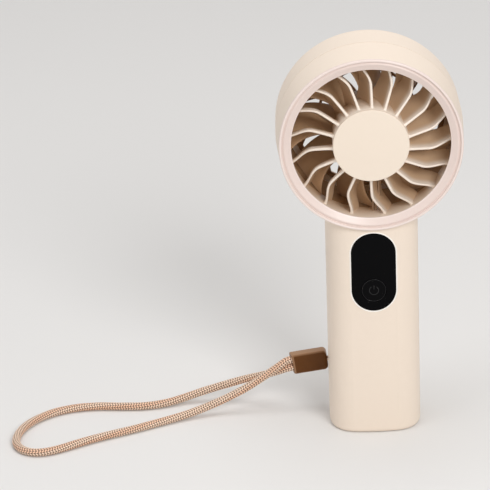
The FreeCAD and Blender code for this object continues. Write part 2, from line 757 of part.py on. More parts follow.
def rear_grille():
    """Intake grille: ring with a flange, swirled ribs, one ring between them and a domed hub."""
    ring_outer = grille_bore - fit_gap
    ring_inner = ring_outer - grille_ring_width
    flange_outer = grille_bore + grille_flange_width
    rib_y = shell_rear_y + grille_flange - rib_depth
    back_y = shell_rear_y + grille_flange
    seat_y = shell_rear_y + fit_gap
    ring = turned([
        (ring_inner, rib_y), (ring_outer, rib_y), (ring_outer, seat_y), (flange_outer, seat_y),
        (flange_outer, back_y, 0.4), (ring_inner, back_y, 0.3),
    ])
    middle = head_tube(grille_mid_radius + rib_width / 2, grille_mid_radius - rib_width / 2,
                       rib_y + 0.2, back_y)
    hub = turned([
        (0, rib_y), (grille_hub_radius, rib_y), (grille_hub_radius, back_y + 0.4, 0.8),
        (0, rear_dome_y),
    ])
    ribs = [grille_rib(i * 360 / rib_count) for i in range(rib_count)]
    catch_y = shell_rear_y - rear_flange - fit_gap
    hooks = []
    for i in range(hook_count):
        arm = head_tube(ring_outer, ring_outer - 1.3, catch_y - 1.0, rib_y + 0.5)
        catch = head_tube(ring_outer + hook_catch, ring_outer - 1.3, catch_y - 1.0, catch_y)
        keep = block(-hook_width / 2, hook_width / 2, catch_y - 2, rib_y + 1,
                     axis_height + ring_inner - 4, axis_height + flange_outer + 2)
        hook = arm.fuse(catch).common(keep)
        hook.rotate(Vector(0, 0, axis_height), Vector(0, 1, 0), 45 + i * 360 / hook_count)
        hooks.append(hook)
    return fuse_all([ring, middle, hub] + ribs + hooks)


# ---- Motor ----------------------------------------------------------------------------------

def motor_screw_places(y):
    return [polar(motor_screw_circle, 30 + 120 * i, y) for i in range(3)]


def bearing_tube():
    """Brass tube on the web that carries the core outside and a bearing at each end."""
    tube = turned([
        (tube_bore, tube_y), (tube_flange_radius, tube_y), (tube_flange_radius, web_y - fit_gap),
        (tube_radius, web_y - fit_gap), (tube_radius, tube_end_y), (tube_bore, tube_end_y),
    ])
    seats = [head_disc(bearing_radius + running_gap, tube_y - 1, tube_y + bearing_width),
             head_disc(bearing_radius + running_gap, tube_end_y - bearing_width, tube_end_y + 1)]
    screws = [rod(motor_screw_radius + 0.1, p, p + Vector(0, 3, 0)) for p in motor_screw_places(tube_y - 1)]
    return tube.cut(compound(seats + screws))


def bearing(y_from):
    """Miniature ball bearing with a groove that marks its inner and outer rings."""
    inner = shaft_radius + running_gap
    low, high = inner + 0.45, bearing_radius - 0.45
    y_to = y_from + bearing_width
    return turned([
        (inner, y_from), (low, y_from), (low, y_from + 0.15), (high, y_from + 0.15), (high, y_from),
        (bearing_radius, y_from), (bearing_radius, y_to), (high, y_to), (high, y_to - 0.15),
        (low, y_to - 0.15), (low, y_to), (inner, y_to),
    ])


def front_bearing():
    return bearing(tube_y)


def rear_bearing():
    return bearing(tube_end_y - bearing_width)


def motor_core():
    """Lamination stack: a round back with teeth that widen at their tips."""
    back = head_tube(tube_radius + core_ring, tube_radius + running_gap, core_y, core_end_y)
    rim = head_tube(core_radius, core_radius - tooth_tip, core_y, core_end_y)
    teeth, mouths = [], []
    for i in range(tooth_count):
        turn = (Vector(0, 0, axis_height), Vector(0, 1, 0), i * 360 / tooth_count)
        tooth = block(-tooth_width / 2, tooth_width / 2, core_y, core_end_y,
                      axis_height + tube_radius + core_ring / 2, axis_height + core_radius - tooth_tip / 2)
        tooth.rotate(*turn)
        teeth.append(tooth)
        mouth = block(-slot_mouth / 2, slot_mouth / 2, core_y - 1, core_end_y + 1,
                      axis_height + core_radius - 2 * tooth_tip, axis_height + core_radius + 1)
        mouth.rotate(turn[0], turn[1], (i + 0.5) * 360 / tooth_count)
        mouths.append(mouth)
    return fuse_all([back, rim] + teeth).cut(compound(mouths))


def motor_windings(core):
    """One coil round each tooth."""
    coils = []
    low = axis_height + tube_radius + core_ring + 0.4
    high = axis_height + core_radius - tooth_tip - 0.3
    for i in range(tooth_count):
        low_half = (low - axis_height) * math.tan(math.pi / tooth_count) - 0.15
        half = min(low_half, tooth_width)
        top_half = min((high - axis_height) * math.tan(math.pi / tooth_count) - 0.3, coil_depth / 2)
        corners = [(-half, low, 0), (half, low, 0), (top_half, high, 0.3), (-top_half, high, 0.3)]
        face = Part.Face(rounded_wire(corners, on_front(core_y - coil_overhang)))
        coil = face.extrude(Vector(0, core_length + 2 * coil_overhang, 0))
        hole = block(-tooth_width / 2, tooth_width / 2, core_y, core_end_y, low - 1, high + 1)
        coil = coil.cut(hole)
        coil.rotate(Vector(0, 0, axis_height), Vector(0, 1, 0), i * 360 / tooth_count)
        coils.append(coil)
    return compound(coils)


def motor_board():
    """Ring-shaped board between the web and the core."""
    return head_tube(motor_board_radius, tube_radius + fit_gap, motor_board_y,
                     motor_board_y + board_thickness)


def motor_screws():
    screws = []
    for place in motor_screw_places(tube_y):
        head = Part.makeCylinder(motor_screw_head, 0.8, place + Vector(0, -0.8 - running_gap, 0), Vector(0, 1, 0))
        shank = Part.makeCylinder(motor_screw_radius, tube_flange + web_thickness - 0.1,
                                  place + Vector(0, -0.5, 0), Vector(0, 1, 0))
        slot = Part.makeBox(3, 0.3, 0.35, place + Vector(-1.5, -0.8 - running_gap, -0.175))
        screws.append(head.fuse(shank).cut(slot))
    return compound(screws)


# ---- Rotor ----------------------------------------------------------------------------------

def blade(degrees):
    """One impeller blade; its rear edge leads as the impeller turns clockwise from the front."""
    sections = []
    low, high, steps = yoke_outer + 0.3, duct_radius + 1.0, 5
    for i in range(steps):
        radius = low + (high - low) * i / (steps - 1)
        share = (radius - hub_radius) / (duct_radius - hub_radius)
        depth = blade_hub_depth + (blade_tip_depth - blade_hub_depth) * share
        slant = math.radians(blade_hub_angle + (blade_tip_angle - blade_hub_angle) * share)
        front = rotor_y + 0.8
        line = []
        for part in (0, 0.35, 0.7, 1):
            bow = 0.08 * depth * 4 * part * (1 - part)
            aside = depth * math.tan(slant) * (0.5 - part) - bow
            thick = blade_thickness * (0.55 + 0.45 * math.sin(math.pi * (0.2 + 0.6 * part)))
            line.append((aside, front + depth * part, thick))
        sections.append(blade_section(radius, degrees + blade_sweep * share ** 2, line))
    return Part.makeLoft(sections, True)


def impeller():
    """Hub cup that takes the motor's yoke, with the blades round it."""
    inner = hub_radius - hub_wall
    bore = shaft_radius + running_gap
    bore_end = shaft_y + shaft_length + fit_gap
    hub = turned([
        (inner, rotor_y), (hub_radius, rotor_y, 0.4), (hub_radius, nose_y, nose_round), (0, nose_y),
        (0, bore_end), (bore, bore_end), (bore, hub_wall_y), (hub_boss_radius, hub_wall_y),
        (hub_boss_radius, nose_y - hub_wall, 0.4), (inner, nose_y - hub_wall, nose_round - hub_wall),
    ])
    limit = head_tube(duct_radius - tip_gap, inner + 0.3 * hub_wall, rotor_y, shell_rear_y)
    blades = [blade(blade_rest_turn + i * 360 / blade_count).common(limit) for i in range(blade_count)]
    return fuse_all([hub] + blades)


def rotor_yoke():
    """Steel cup that closes the magnets' field."""
    inner = magnet_outer + fit_gap
    stop = hub_wall_y - fit_gap
    start = rotor_y + 0.4
    return turned([
        (inner, start), (yoke_outer, start), (yoke_outer, stop, 0.6), (tube_radius + 0.6, stop),
        (tube_radius + 0.6, stop - yoke_wall), (inner, stop - yoke_wall),
    ])


def magnet_ring():
    return head_tube(magnet_outer, magnet_inner, core_y - 0.3, core_end_y + 0.3)


def motor_shaft():
    """Steel shaft, pressed into the impeller's boss, with a groove for its clip."""
    stop = shaft_y + shaft_length
    clip_y = tube_y - 0.2 - clip_thickness
    groove = shaft_radius - 0.3
    return turned([
        (0, shaft_y), (shaft_radius, shaft_y), (shaft_radius, clip_y - running_gap),
        (groove, clip_y - running_gap), (groove, clip_y + clip_thickness + running_gap),
        (shaft_radius, clip_y + clip_thickness + running_gap), (shaft_radius, stop), (0, stop),
    ])


def shaft_clip():
    """E-shaped retaining clip in the shaft's groove."""
    clip_y = tube_y - 0.2 - clip_thickness
    ring = head_tube(clip_radius, shaft_radius - 0.3 + running_gap, clip_y, clip_y + clip_thickness)
    gap = block(-0.65, 0.65, clip_y - 1, clip_y + 2, axis_height, axis_height + 3)
    return ring.cut(gap)


# ---- Display and button ---------------------------------------------------------------------

def display_window():
    """Dark window, flush with the handle's crown, with a hole for the button."""
    gap = 2 * fit_gap
    plate = capsule(window_width - gap, window_height - gap, window_center_z,
                    handle_face_y - 1, parting_y - 6)
    plate = plate.common(handle_prism(window_recess, 0, axis_height))
    plate = plate.cut(handle_prism(window_pocket - fit_gap, 0, axis_height))
    hole = rod(button_radius + button_gap, Vector(0, handle_face_y - 2, button_z),
               Vector(0, parting_y, button_z))
    return plate.cut(hole)


def power_button():
    """Round button with a retaining flange behind the window and a boss for the switch."""
    cap = rod(button_radius, Vector(0, handle_face_y - 2, button_z), Vector(0, flange_y + 0.2, button_z))
    cap = cap.common(handle_prism(button_recess, 0, axis_height))
    flange = rod(button_flange_radius, Vector(0, flange_y, button_z),
                 Vector(0, flange_y + button_flange, button_z))
    boss = rod(button_boss_radius, Vector(0, flange_y, button_z), Vector(0, boss_end_y, button_z))
    return fuse_all([cap, flange, boss])


def switch_plunger():
    start = boss_end_y + 0.02
    return rod(plunger_radius, Vector(0, start, button_z), Vector(0, start + plunger_length - button_travel,
                                                                  button_z))


def switch_body():
    """Tactile switch on the control board, with a well for its plunger."""
    half = switch_size / 2
    corners = [(-half, button_z - half, 0.4), (half, button_z - half, 0.4),
               (half, button_z + half, 0.4), (-half, button_z + half, 0.4)]
    body = Part.Face(rounded_wire(corners, on_front(switch_y))).extrude(Vector(0, switch_height, 0))
    well = rod(plunger_radius + 0.1, Vector(0, switch_y - 1, button_z),
               Vector(0, switch_y + switch_height - 0.3, button_z))
    return body.cut(well)


def control_board():
    """Main board behind the window, resting on the front shell's ribs."""
    half = board_width / 2
    low, high = board_low, board_high
    corners = [(-half, low, 1), (half, low, 1), (half, high, 1), (-half, high, 1)]
    board = Part.Face(rounded_wire(corners, on_front(board_y))).extrude(Vector(0, pcb_thickness, 0))
    chips = [block(-5.5, -1.5, board_back_y - 0.01, board_back_y + 0.35, low + 4, low + 8),
             block(1.5, 5.0, board_back_y - 0.01, board_back_y + 0.35, low + 4, low + 7)]
    connector = block(-2.6, 2.6, board_y - 1.6, board_y + 0.01, high - connector_height - 0.6, high - 0.6)
    holes = [rod(board_screw_radius + fit_gap, p, p + Vector(0, 4, 0)) for p in board_screw_places(board_y - 1)]
    return fuse_all([board, connector] + chips).cut(compound(holes))


def board_screw_places(y):
    x = board_width / 2 - board_screw_edge
    return [Vector(side * x, y, board_low + board_screw_rise) for side in (-1, 1)]


def board_screws():
    """Two small screws that hold the control board to the front shell's bosses."""
    screws = []
    for place in board_screw_places(board_back_y + running_gap):
        head = Part.makeCylinder(1.5 * board_screw_radius + 0.3, 0.7, place, Vector(0, 1, 0))
        shank = Part.makeCylinder(board_screw_radius, pcb_thickness + 2.2, place + Vector(0, 0.2, 0),
                                  Vector(0, -1, 0))
        slot = Part.makeBox(3, 0.4, 0.3, place + Vector(-1.5, 0.4, -0.15))
        screws.append(head.fuse(shank).cut(slot))
    return compound(screws)


def display_module():
    """Two-digit display on the control board, in its moulded reflector."""
    half = display_width / 2
    front_y = board_y - display_thickness
    corners = [(-half, display_low, 0.5), (half, display_low, 0.5), (half, display_high, 0.5),
               (-half, display_high, 0.5)]
    module = Part.Face(rounded_wire(corners, on_front(front_y)))
    module = module.extrude(Vector(0, display_thickness, 0))
    wells = []
    digit_width, digit_height, bar = display_width / 3, 0.6 * (display_high - display_low), 0.8
    middle_z = (display_low + display_high) / 2
    for x in (-half / 2, half / 2):
        for z in (-digit_height / 2, 0, digit_height / 2):
            wells.append(block(x - digit_width / 2 + bar, x + digit_width / 2 - bar, front_y - 1,
                               front_y + 0.5, middle_z + z - bar / 2, middle_z + z + bar / 2))
        for side in (-1, 1):
            for z in (-digit_height / 4, digit_height / 4):
                wells.append(block(x + side * digit_width / 2 - bar / 2, x + side * digit_width / 2 + bar / 2,
                                   front_y - 1, front_y + 0.5, middle_z + z - digit_height / 4 + bar,
                                   middle_z + z + digit_height / 4 - bar))
    return module.cut(compound(wells))


# ---- Battery and charging -------------------------------------------------------------------

def cell(side):
    """Round lithium cell with a raised positive end."""
    x = side * cell_x
    profile = [(0, cell_low, 0), (cell_radius, cell_low, 0.5), (cell_radius, cell_high - 0.4, 0.5),
               (cell_radius * 0.45, cell_high - 0.4, 0), (cell_radius * 0.4, cell_high, 0.15), (0, cell_high, 0)]
    face = Part.Face(rounded_wire(profile, lambda a, b: Vector(x + a, cell_center_y, b)))
    return face.revolve(Vector(x, cell_center_y, 0), Vector(0, 0, 1), 360)


def battery_left():
    return cell(-1)


def battery_right():
    return cell(1)


def battery_tabs():
    """Nickel strips that join the two cells at both ends."""
    strips = []
    for z in (cell_low - tab_thickness, cell_high):
        strips.append(block(-cell_x - tab_width / 2, cell_x + tab_width / 2, cell_center_y - tab_width / 2,
                            cell_center_y + tab_width / 2, z, z + tab_thickness))
    return compound(strips)


def battery_cradle():
    """Two end plates that fill the handle's section, joined by a spine behind the cells."""
    front_y = board_back_y + 0.8
    spine_y = cell_center_y + 0.5 + math.sqrt(cell_radius ** 2 - (cell_x - spine_width / 2) ** 2)
    low, high = cell_low - tab_thickness, cell_high + tab_thickness
    plates = [handle_prism(wall + cradle_gap, low - cradle_plate, low),
              handle_prism(wall + cradle_gap, high, high + cradle_plate)]
    keep = block(-handle_width, handle_width, front_y, handle_center_y + handle_depth, 0, axis_height)
    spine = block(-spine_width / 2, spine_width / 2, spine_y, spine_y + spine_thickness,
                  low - cradle_plate, high + cradle_plate)
    return fuse_all([plate.common(keep) for plate in plates] + [spine])


def port_prism(gap, y_from, y_to):
    """Prism of the charging socket's outline, widened by gap."""
    half_w, half_h = socket_width / 2 + gap, socket_height / 2 + gap
    low, high = socket_height_above_base - half_h, socket_height_above_base + half_h
    round_ = half_h - 1e-3
    corners = [(-half_w, low, round_), (half_w, low, round_), (half_w, high, round_), (-half_w, high, round_)]
    return Part.Face(rounded_wire(corners, on_front(y_from))).extrude(Vector(0, y_to - y_from, 0))


def usb_socket():
    """Type C charging socket: drawn shell with its contact tongue."""
    mouth_y = handle_rear_y - socket_recess
    start = mouth_y - socket_length
    shell = port_prism(0, start, mouth_y).cut(port_prism(-socket_shell, start + 1.1, mouth_y + 1))
    half = socket_width / 2 - 1.1
    tongue = block(-half, half, start + 1, mouth_y - 1.4, socket_height_above_base - socket_tongue / 2,
                   socket_height_above_base + socket_tongue / 2)
    return shell.fuse(tongue)


def charge_board():
    """Small board under the socket, resting on posts of the rear shell."""
    rear_y = handle_rear_y - wall - 0.6
    half = charge_board_width / 2
    front_y = rear_y - charge_board_length
    corners = [(-half, front_y, 1), (half, front_y, 1), (half, rear_y, 1), (-half, rear_y, 1)]
    board = Part.Face(rounded_wire(corners, on_plan(charge_board_z + running_gap)))
    board = board.extrude(Vector(0, 0, pcb_thickness - 2 * running_gap))
    coil = block(-6, -2.4, front_y + 4, front_y + 7.6, charge_board_z + pcb_thickness - 0.1,
                 charge_board_z + pcb_thickness + 1.6)
    chip = block(1.5, 4.5, front_y + 4, front_y + 7, charge_board_z + pcb_thickness - 0.1,
                 charge_board_z + pcb_thickness + 0.6)
    return fuse_all([board, coil, chip])


# ---- Fasteners ------------------------------------------------------------------------------

def case_screws():
    """Four cross-head screws that pull the shells together."""
    screws = []
    for x, z in screw_places():
        seat = Vector(x, screw_seat_y + running_gap, z)
        head = Part.makeCylinder(screw_head_radius, screw_head, seat, Vector(0, 1, 0))
        shank = Part.makeCylinder(screw_radius - 0.2, screw_length, seat - Vector(0, screw_length - 0.2, 0),
                                  Vector(0, 1, 0))
        cross = [Part.makeBox(2.2, 0.8, 0.5, seat + Vector(-1.1, screw_head - 0.6, -0.25)),
                 Part.makeBox(0.5, 0.8, 2.2, seat + Vector(-0.25, screw_head - 0.6, -1.1))]
        screws.append(head.fuse(shank).cut(compound(cross)))
    return compound(screws)


def screw_plugs():
    """Plugs that close the screw holes, flush with the handle's rear."""
    rear_y = handle_rear_y
    plugs = []
    flush = handle_prism(0.08, 0, handle_top)
    for x, z in screw_places():
        plug = rod(screw_head_radius + 0.3 - fit_gap, Vector(x, rear_y - plug_depth - 1.5, z),
                   Vector(x, rear_y + 1, z))
        plugs.append(plug.common(flush))
    return compound(plugs)


# ---- Wrist strap ----------------------------------------------------------------------------

def strap_pin():
    """Steel pin across the strap pocket."""
    pin = pin_center()
    return rod(pin_radius, pin - Vector(0, 0, pin_reach), pin + Vector(0, 0, pin_reach))


def clamp_place(along, up, aside=0.0):
    """Point in the clamp: along towards the handle, up across it, aside to the rear."""
    tilt = math.radians(clamp_tilt)
    ahead = Vector(math.cos(tilt), 0, math.sin(tilt))
    above = Vector(-math.sin(tilt), 0, math.cos(tilt))
    return pin_center() + clamp_offset + ahead * along + above * up + Vector(0, aside, 0)


def clamp_form(shape):
    """Moves a shape that is modelled round the origin, along X, into the clamp's place."""
    turn = Rotation(Vector(0, 1, 0), -clamp_tilt)
    shape.Placement = FreeCAD.Placement(pin_center() + clamp_offset, turn).multiply(shape.Placement)
    return shape


def strap_clamp():
    """Moulded clamp: cord mouth at one end, slot for the string at the other."""
    length, height, thick = clamp_length, clamp_height, clamp_thickness
    body = Part.makeBox(length, thick, height, Vector(-length / 2, -thick / 2, -height / 2))
    body = body.makeFillet(clamp_edge, [e for e in body.Edges if abs(e.tangentAt(0).x) > 0.9])
    end = [e for e in body.Edges if e.BoundBox.XMin > length / 2 - 1e-3]
    body = body.makeFillet(clamp_end, end)
    mouth = Part.makeBox(clamp_pocket + 1, 2 * cord_radius + 0.1, 2 * cord_radius + cord_spacing + 0.1,
                         Vector(-length / 2 - 1, -cord_radius - 0.05, -cord_radius - cord_spacing / 2 - 0.05))
    mouth = mouth.makeFillet(cord_radius - 0.1, [e for e in mouth.Edges if abs(e.tangentAt(0).x) > 0.9])
    slot = Part.makeBox(string_pocket + 1, 4 * string_radius + 2.2, 2 * string_radius + 0.4,
                        Vector(length / 2 - string_pocket, -2 * string_radius - 1.1, -string_radius - 0.2))
    return clamp_form(body.cut(compound([mouth, slot])))


def strap_cord():
    """Braided cord: out of the clamp's mouth, round the loop and back in."""
    inside, outside = clamp_pocket - clamp_length / 2, -clamp_length / 2
    upper = [clamp_place(inside, cord_spacing / 2), clamp_place(outside - 1, cord_spacing / 2)]
    lower = [clamp_place(outside - 1, -cord_spacing / 2), clamp_place(inside, -cord_spacing / 2)]
    rise = (strap_height - cord_radius) / (route_height - cord_radius)
    route = [Vector(x, y, cord_radius + (z - cord_radius) * rise) for x, y, z in strap_route]
    return bent_tube([*upper, *route, *lower], cord_radius)


def string_points():
    """The string's route: out of the clamp, round the strap pin and back."""
    pin = pin_center()
    bend = pin_radius + string_radius + 0.1
    ahead = strap_direction()
    across = Vector(-ahead.y, ahead.x, 0)
    start = clamp_place(clamp_length / 2 - string_pocket, 0)
    leave = clamp_place(clamp_length / 2 + 1, 0)
    side = bend * math.tan(math.radians(30))
    arc = [pin + across * bend + ahead * side,
           pin + across * bend - ahead * side,
           pin - ahead * (2 * side),
           pin - across * bend - ahead * side,
           pin - across * bend + ahead * side]
    apart = Vector(0, string_radius + 0.7, 0)
    return [start - apart, leave - apart, *arc, leave + apart, start + apart]


def strap_string():
    """Thin loop that ties the clamp to the handle's pin."""
    return bent_tube(string_points(), string_radius)


# ---- Wires ----------------------------------------------------------------------------------

def lead_y():
    """Depth of the motor leads where they cross the air path, behind the guide vanes."""
    return vane_end_y + 0.35 + wire_radius


def motor_leads():
    """Three wires from the motor board, across behind a vane, down to the control board."""
    wires = []
    board_mid = (board_y + board_back_y) / 2
    for i in (-1, 0, 1):
        x = lead_aside + i * wire_pitch
        near_x = x - wire_radius
        start_z = axis_height - math.sqrt(motor_board_radius ** 2 - near_x ** 2) - 0.1
        wires.append(bent_tube([
            (x, lead_y(), start_z), (x, lead_y(), axis_height - duct_outer - 1.2),
            (x, board_mid, board_high + 3.6), (x, board_mid, board_high + fit_gap),
        ], wire_radius))
    return compound(wires)


def battery_leads():
    """Two wires from the battery's lower end to the charging board."""
    wires = []
    top = cell_low - tab_thickness - cradle_plate
    board_top = charge_board_z + pcb_thickness
    middle = (top + board_top) / 2
    front_y = cell_center_y - lead_depth
    for x in (-lead_side, lead_side):
        wires.append(bent_tube([
            (x, front_y, top - fit_gap), (x, front_y, middle + lead_jog),
            (x, front_y + lead_jog, middle - lead_jog), (x, front_y + lead_jog, board_top),
        ], wire_radius))
    return compound(wires)


def board_leads():
    """Four wires from the charging board up the front of the battery to the control board."""
    wires = []
    board_top = charge_board_z + pcb_thickness
    board_mid = (board_y + board_back_y) / 2
    front_y = cell_center_y - lead_depth
    for i in (-1.5, -0.5, 0.5, 1.5):
        x = i * wire_pitch
        wires.append(bent_tube([
            (x, front_y, board_top), (x, front_y, board_top + lead_rise),
            (x, board_mid, board_top + lead_rise + lead_bend),
            (x, board_mid, board_low - fit_gap),
        ], wire_radius))
    return compound(wires)


# ---- All pieces -----------------------------------------------------------------------------

def build():
    front_blank, rear_blank = shell_pair()
    core = motor_core()
    nodes = {
        "front_shell": front_shell(front_blank), "rear_shell": rear_shell(rear_blank),
        "front_ring": front_ring(), "guide_vanes": guide_vanes(), "hub_cap": hub_cap(),
        "impeller_duct": impeller_duct(), "rear_grille": rear_grille(),
        "bearing_tube": bearing_tube(), "front_bearing": front_bearing(), "rear_bearing": rear_bearing(),
        "motor_core": core, "motor_windings": motor_windings(core), "motor_board": motor_board(),
        "motor_screws": motor_screws(), "impeller": impeller(), "rotor_yoke": rotor_yoke(),
        "magnet_ring": magnet_ring(), "motor_shaft": motor_shaft(), "shaft_clip": shaft_clip(),
        "display_window": display_window(), "power_button": power_button(),
        "switch_plunger": switch_plunger(), "switch_body": switch_body(),
        "control_board": control_board(), "board_screws": board_screws(),
        "display_module": display_module(),
        "battery_left": battery_left(), "battery_right": battery_right(), "battery_tabs": battery_tabs(),
        "battery_cradle": battery_cradle(), "usb_socket": usb_socket(), "charge_board": charge_board(),
        "case_screws": case_screws(), "screw_plugs": screw_plugs(), "strap_pin": strap_pin(),
        "strap_clamp": strap_clamp(), "strap_cord": strap_cord(), "strap_string": strap_string(),
        "motor_leads": motor_leads(), "battery_leads": battery_leads(), "board_leads": board_leads(),
    }
    return nodes


os.makedirs("parts", exist_ok=True)
for name, shape in build().items():
    shape.exportStep("parts/%s.step" % name)
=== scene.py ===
import json
import math
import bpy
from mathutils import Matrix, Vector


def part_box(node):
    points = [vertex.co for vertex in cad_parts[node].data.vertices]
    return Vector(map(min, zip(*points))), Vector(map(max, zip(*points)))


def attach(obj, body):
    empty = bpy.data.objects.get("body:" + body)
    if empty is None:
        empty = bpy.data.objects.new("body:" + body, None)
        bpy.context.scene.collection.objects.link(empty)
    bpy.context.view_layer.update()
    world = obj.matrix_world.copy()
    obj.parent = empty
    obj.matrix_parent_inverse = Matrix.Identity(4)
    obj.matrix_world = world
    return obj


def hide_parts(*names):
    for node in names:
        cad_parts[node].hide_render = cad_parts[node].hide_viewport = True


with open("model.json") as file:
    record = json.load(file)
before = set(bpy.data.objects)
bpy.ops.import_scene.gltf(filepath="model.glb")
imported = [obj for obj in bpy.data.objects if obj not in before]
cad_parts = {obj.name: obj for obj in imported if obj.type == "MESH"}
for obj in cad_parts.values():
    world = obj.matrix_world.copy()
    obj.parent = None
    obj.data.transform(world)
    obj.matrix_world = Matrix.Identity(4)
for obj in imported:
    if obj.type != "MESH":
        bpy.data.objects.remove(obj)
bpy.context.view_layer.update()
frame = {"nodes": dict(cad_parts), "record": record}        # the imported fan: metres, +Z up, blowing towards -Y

from types import SimpleNamespace

import bmesh
import bpy
import numpy as np
from mathutils import Matrix, Vector

mm = 0.001               # sizes in the dictionaries below are millimetres
nodes = frame["nodes"]
record = frame["record"]

cameraView = {
    "lens": 256.2, "sensor": 36.0,
    "place": (-0.0580, -1.4573, 0.7499),
    "tilt": 65.614, "roll": -2.075,            # degrees
}

stageLook = {
    "floorSize": 12.0,                         # metres
    "floorColor": (0.80, 0.79, 0.78), "floorRoughness": 0.75, "floorSpecular": 0.2,
    "skyColor": (1.0, 0.985, 0.97), "skyLight": 0.44, "skySeen": 1.0,
    "lamps": {                                 # place and aim in metres, size in metres, power in watts
        "frontLamp": {"place": (0.60, -1.34, 1.17), "aim": (0.0, 0.0, 0.10), "size": 0.7, "power": 15.2},
        "sideLamp": {"place": (-1.20, -0.70, 0.95), "aim": (0.0, 0.0, 0.10), "size": 0.9, "power": 2.8},
        "topLamp": {"place": (-0.05, 0.10, 1.60), "aim": (0.0, 0.0, 0.10), "size": 1.0, "power": 7.6},
    },
}


def newObject(name, data):
    # an object in the scene, at its origin, that shows the data
    holder = bpy.data.objects.new(name, data)
    bpy.context.scene.collection.objects.link(holder)
    return holder


def addCamera(values):
    # tilted up from looking straight down, then rolled about its own line of sight
    data = bpy.data.cameras.new("mainCamera")
    data.lens, data.sensor_width = values["lens"], values["sensor"]
    camera = newObject("mainCamera", data)
    tilt = Matrix.Rotation(math.radians(values["tilt"]), 4, "X")
    roll = Matrix.Rotation(math.radians(values["roll"]), 4, "Z")
    camera.matrix_world = Matrix.Translation(values["place"]) @ tilt @ roll
    bpy.context.scene.camera = camera
    bpy.context.scene.view_settings.view_transform = "Standard"
    print("camera placed")


def span(node):
    # lowest and highest corner of a CAD node, in millimetres
    low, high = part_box(node)
    return np.array(low) / mm, np.array(high) / mm


ringLow, ringHigh = span("front_ring")
capLow, capHigh = span("hub_cap")
windowLow, windowHigh = span("display_window")
buttonLow, buttonHigh = span("power_button")
grilleBack = span("rear_grille")[1][1]
lipStand = 1.3                                 # how far the ring's lip stands in front of the barrel
axisHeight = (ringLow[2] + ringHigh[2]) / 2
rimRadius = ringHigh[0]
barrelFront = ringLow[1] + lipStand
drumRadius = capHigh[0]


def gridQuads(rows, columns, wrapRows, wrapColumns):
    # one quad per cell; a wrapped side joins the last line of points to the first
    i, j = np.meshgrid(np.arange(rows if wrapRows else rows - 1),
                       np.arange(columns if wrapColumns else columns - 1), indexing="ij")
    i, j = i.ravel(), j.ravel()
    nextI, nextJ = (i + 1) % rows, (j + 1) % columns
    return np.stack([i * columns + j, i * columns + nextJ,
                     nextI * columns + nextJ, nextI * columns + j], axis=1)


def gridMesh(name, grids, sharpDegrees=32, uv=None, values=None):
    # grids of (points, wrapRows, wrapColumns) in one mesh; uv holds the corners of each quad
    points, quads, start = [], [], 0
    for grid, wrapRows, wrapColumns in grids:
        rows, columns = grid.shape[:2]
        points.append(grid.reshape(-1, 3) * mm)
        quads.append(gridQuads(rows, columns, wrapRows, wrapColumns) + start)
        start += rows * columns
    mesh = bpy.data.meshes.new(name)
    mesh.from_pydata(np.concatenate(points).tolist(), [], np.concatenate(quads).tolist())
    if uv is not None:
        mesh.uv_layers.new(name="UVMap").data.foreach_set("uv", uv.astype(np.float32).ravel())
    for label, numbers in (values or {}).items():
        attribute = mesh.attributes.new(label, "FLOAT", "POINT")
        attribute.data.foreach_set("value", numbers.astype(np.float32).ravel())
    work = bmesh.new()
    work.from_mesh(mesh)
    bmesh.ops.remove_doubles(work, verts=work.verts, dist=1e-7)
    bmesh.ops.recalc_face_normals(work, faces=work.faces)
    work.to_mesh(mesh)
    work.free()
    mesh.shade_smooth()
    mesh.set_sharp_from_angle(angle=math.radians(sharpDegrees))
    return mesh


def addPiece(name, mesh, body, slot, replaced=(), finish=None):
    # a new piece wears its finish, rides on its body and stands for the nodes it replaces
    piece = newObject(name, mesh)
    mesh.materials.append(materials[finish or slot])
    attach(piece, body)
    if replaced:
        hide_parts(*replaced)
    print(name, len(mesh.polygons), "faces")
    return piece


def unit(vectors):
    # each vector divided by its own length
    return vectors / np.linalg.norm(vectors, axis=-1, keepdims=True)


def eased(share):
    # from 0 to 1 without a kink at either end: share^2 (3 - 2 share)
    share = np.clip(share, 0, 1)
    return share ** 2 * (3 - 2 * share)


def roundedOutline(corners, steps=7):
    # closed outline through corners (a, b, radius), each rounded by an arc tangent to both its sides
    corners = np.array(corners, float)
    here, radius = corners[:, :2], corners[:, 2:]
    back, ahead = unit(np.roll(here, 1, 0) - here), unit(np.roll(here, -1, 0) - here)
    half = np.arccos(np.sum(back * ahead, axis=1, keepdims=True)) / 2
    middle = here + unit(back + ahead) * radius / np.sin(half)
    start = here + back * radius / np.tan(half) - middle
    stop = here + ahead * radius / np.tan(half) - middle
    swing = np.arctan2(start[:, 0] * stop[:, 1] - start[:, 1] * stop[:, 0],
                       np.sum(start * stop, axis=1))
    turn = swing[:, None] * np.linspace(0, 1, steps)
    a = start[:, :1] * np.cos(turn) - start[:, 1:] * np.sin(turn)
    b = start[:, :1] * np.sin(turn) + start[:, 1:] * np.cos(turn)
    return np.stack([middle[:, :1] + a, middle[:, 1:] + b], axis=-1).reshape(-1, 2)


def onHead(radius, degrees, y):
    # radius and angle about the head's axis; the angle runs from +X towards +Z
    turn = np.radians(degrees)
    x, z = radius * np.cos(turn), axisHeight + radius * np.sin(turn)
    return np.stack(np.broadcast_arrays(x, y, z), axis=-1)


def revolved(corners, segments=192, steps=7):
    # a rounded outline of (radius, y) carried once round the head's axis
    outline = roundedOutline([(tuple(c) + (0,))[:3] for c in corners], steps)
    turns = np.arange(segments) * 360 / segments
    return onHead(outline[:, :1], turns[None, :], outline[:, 1:]), True, True


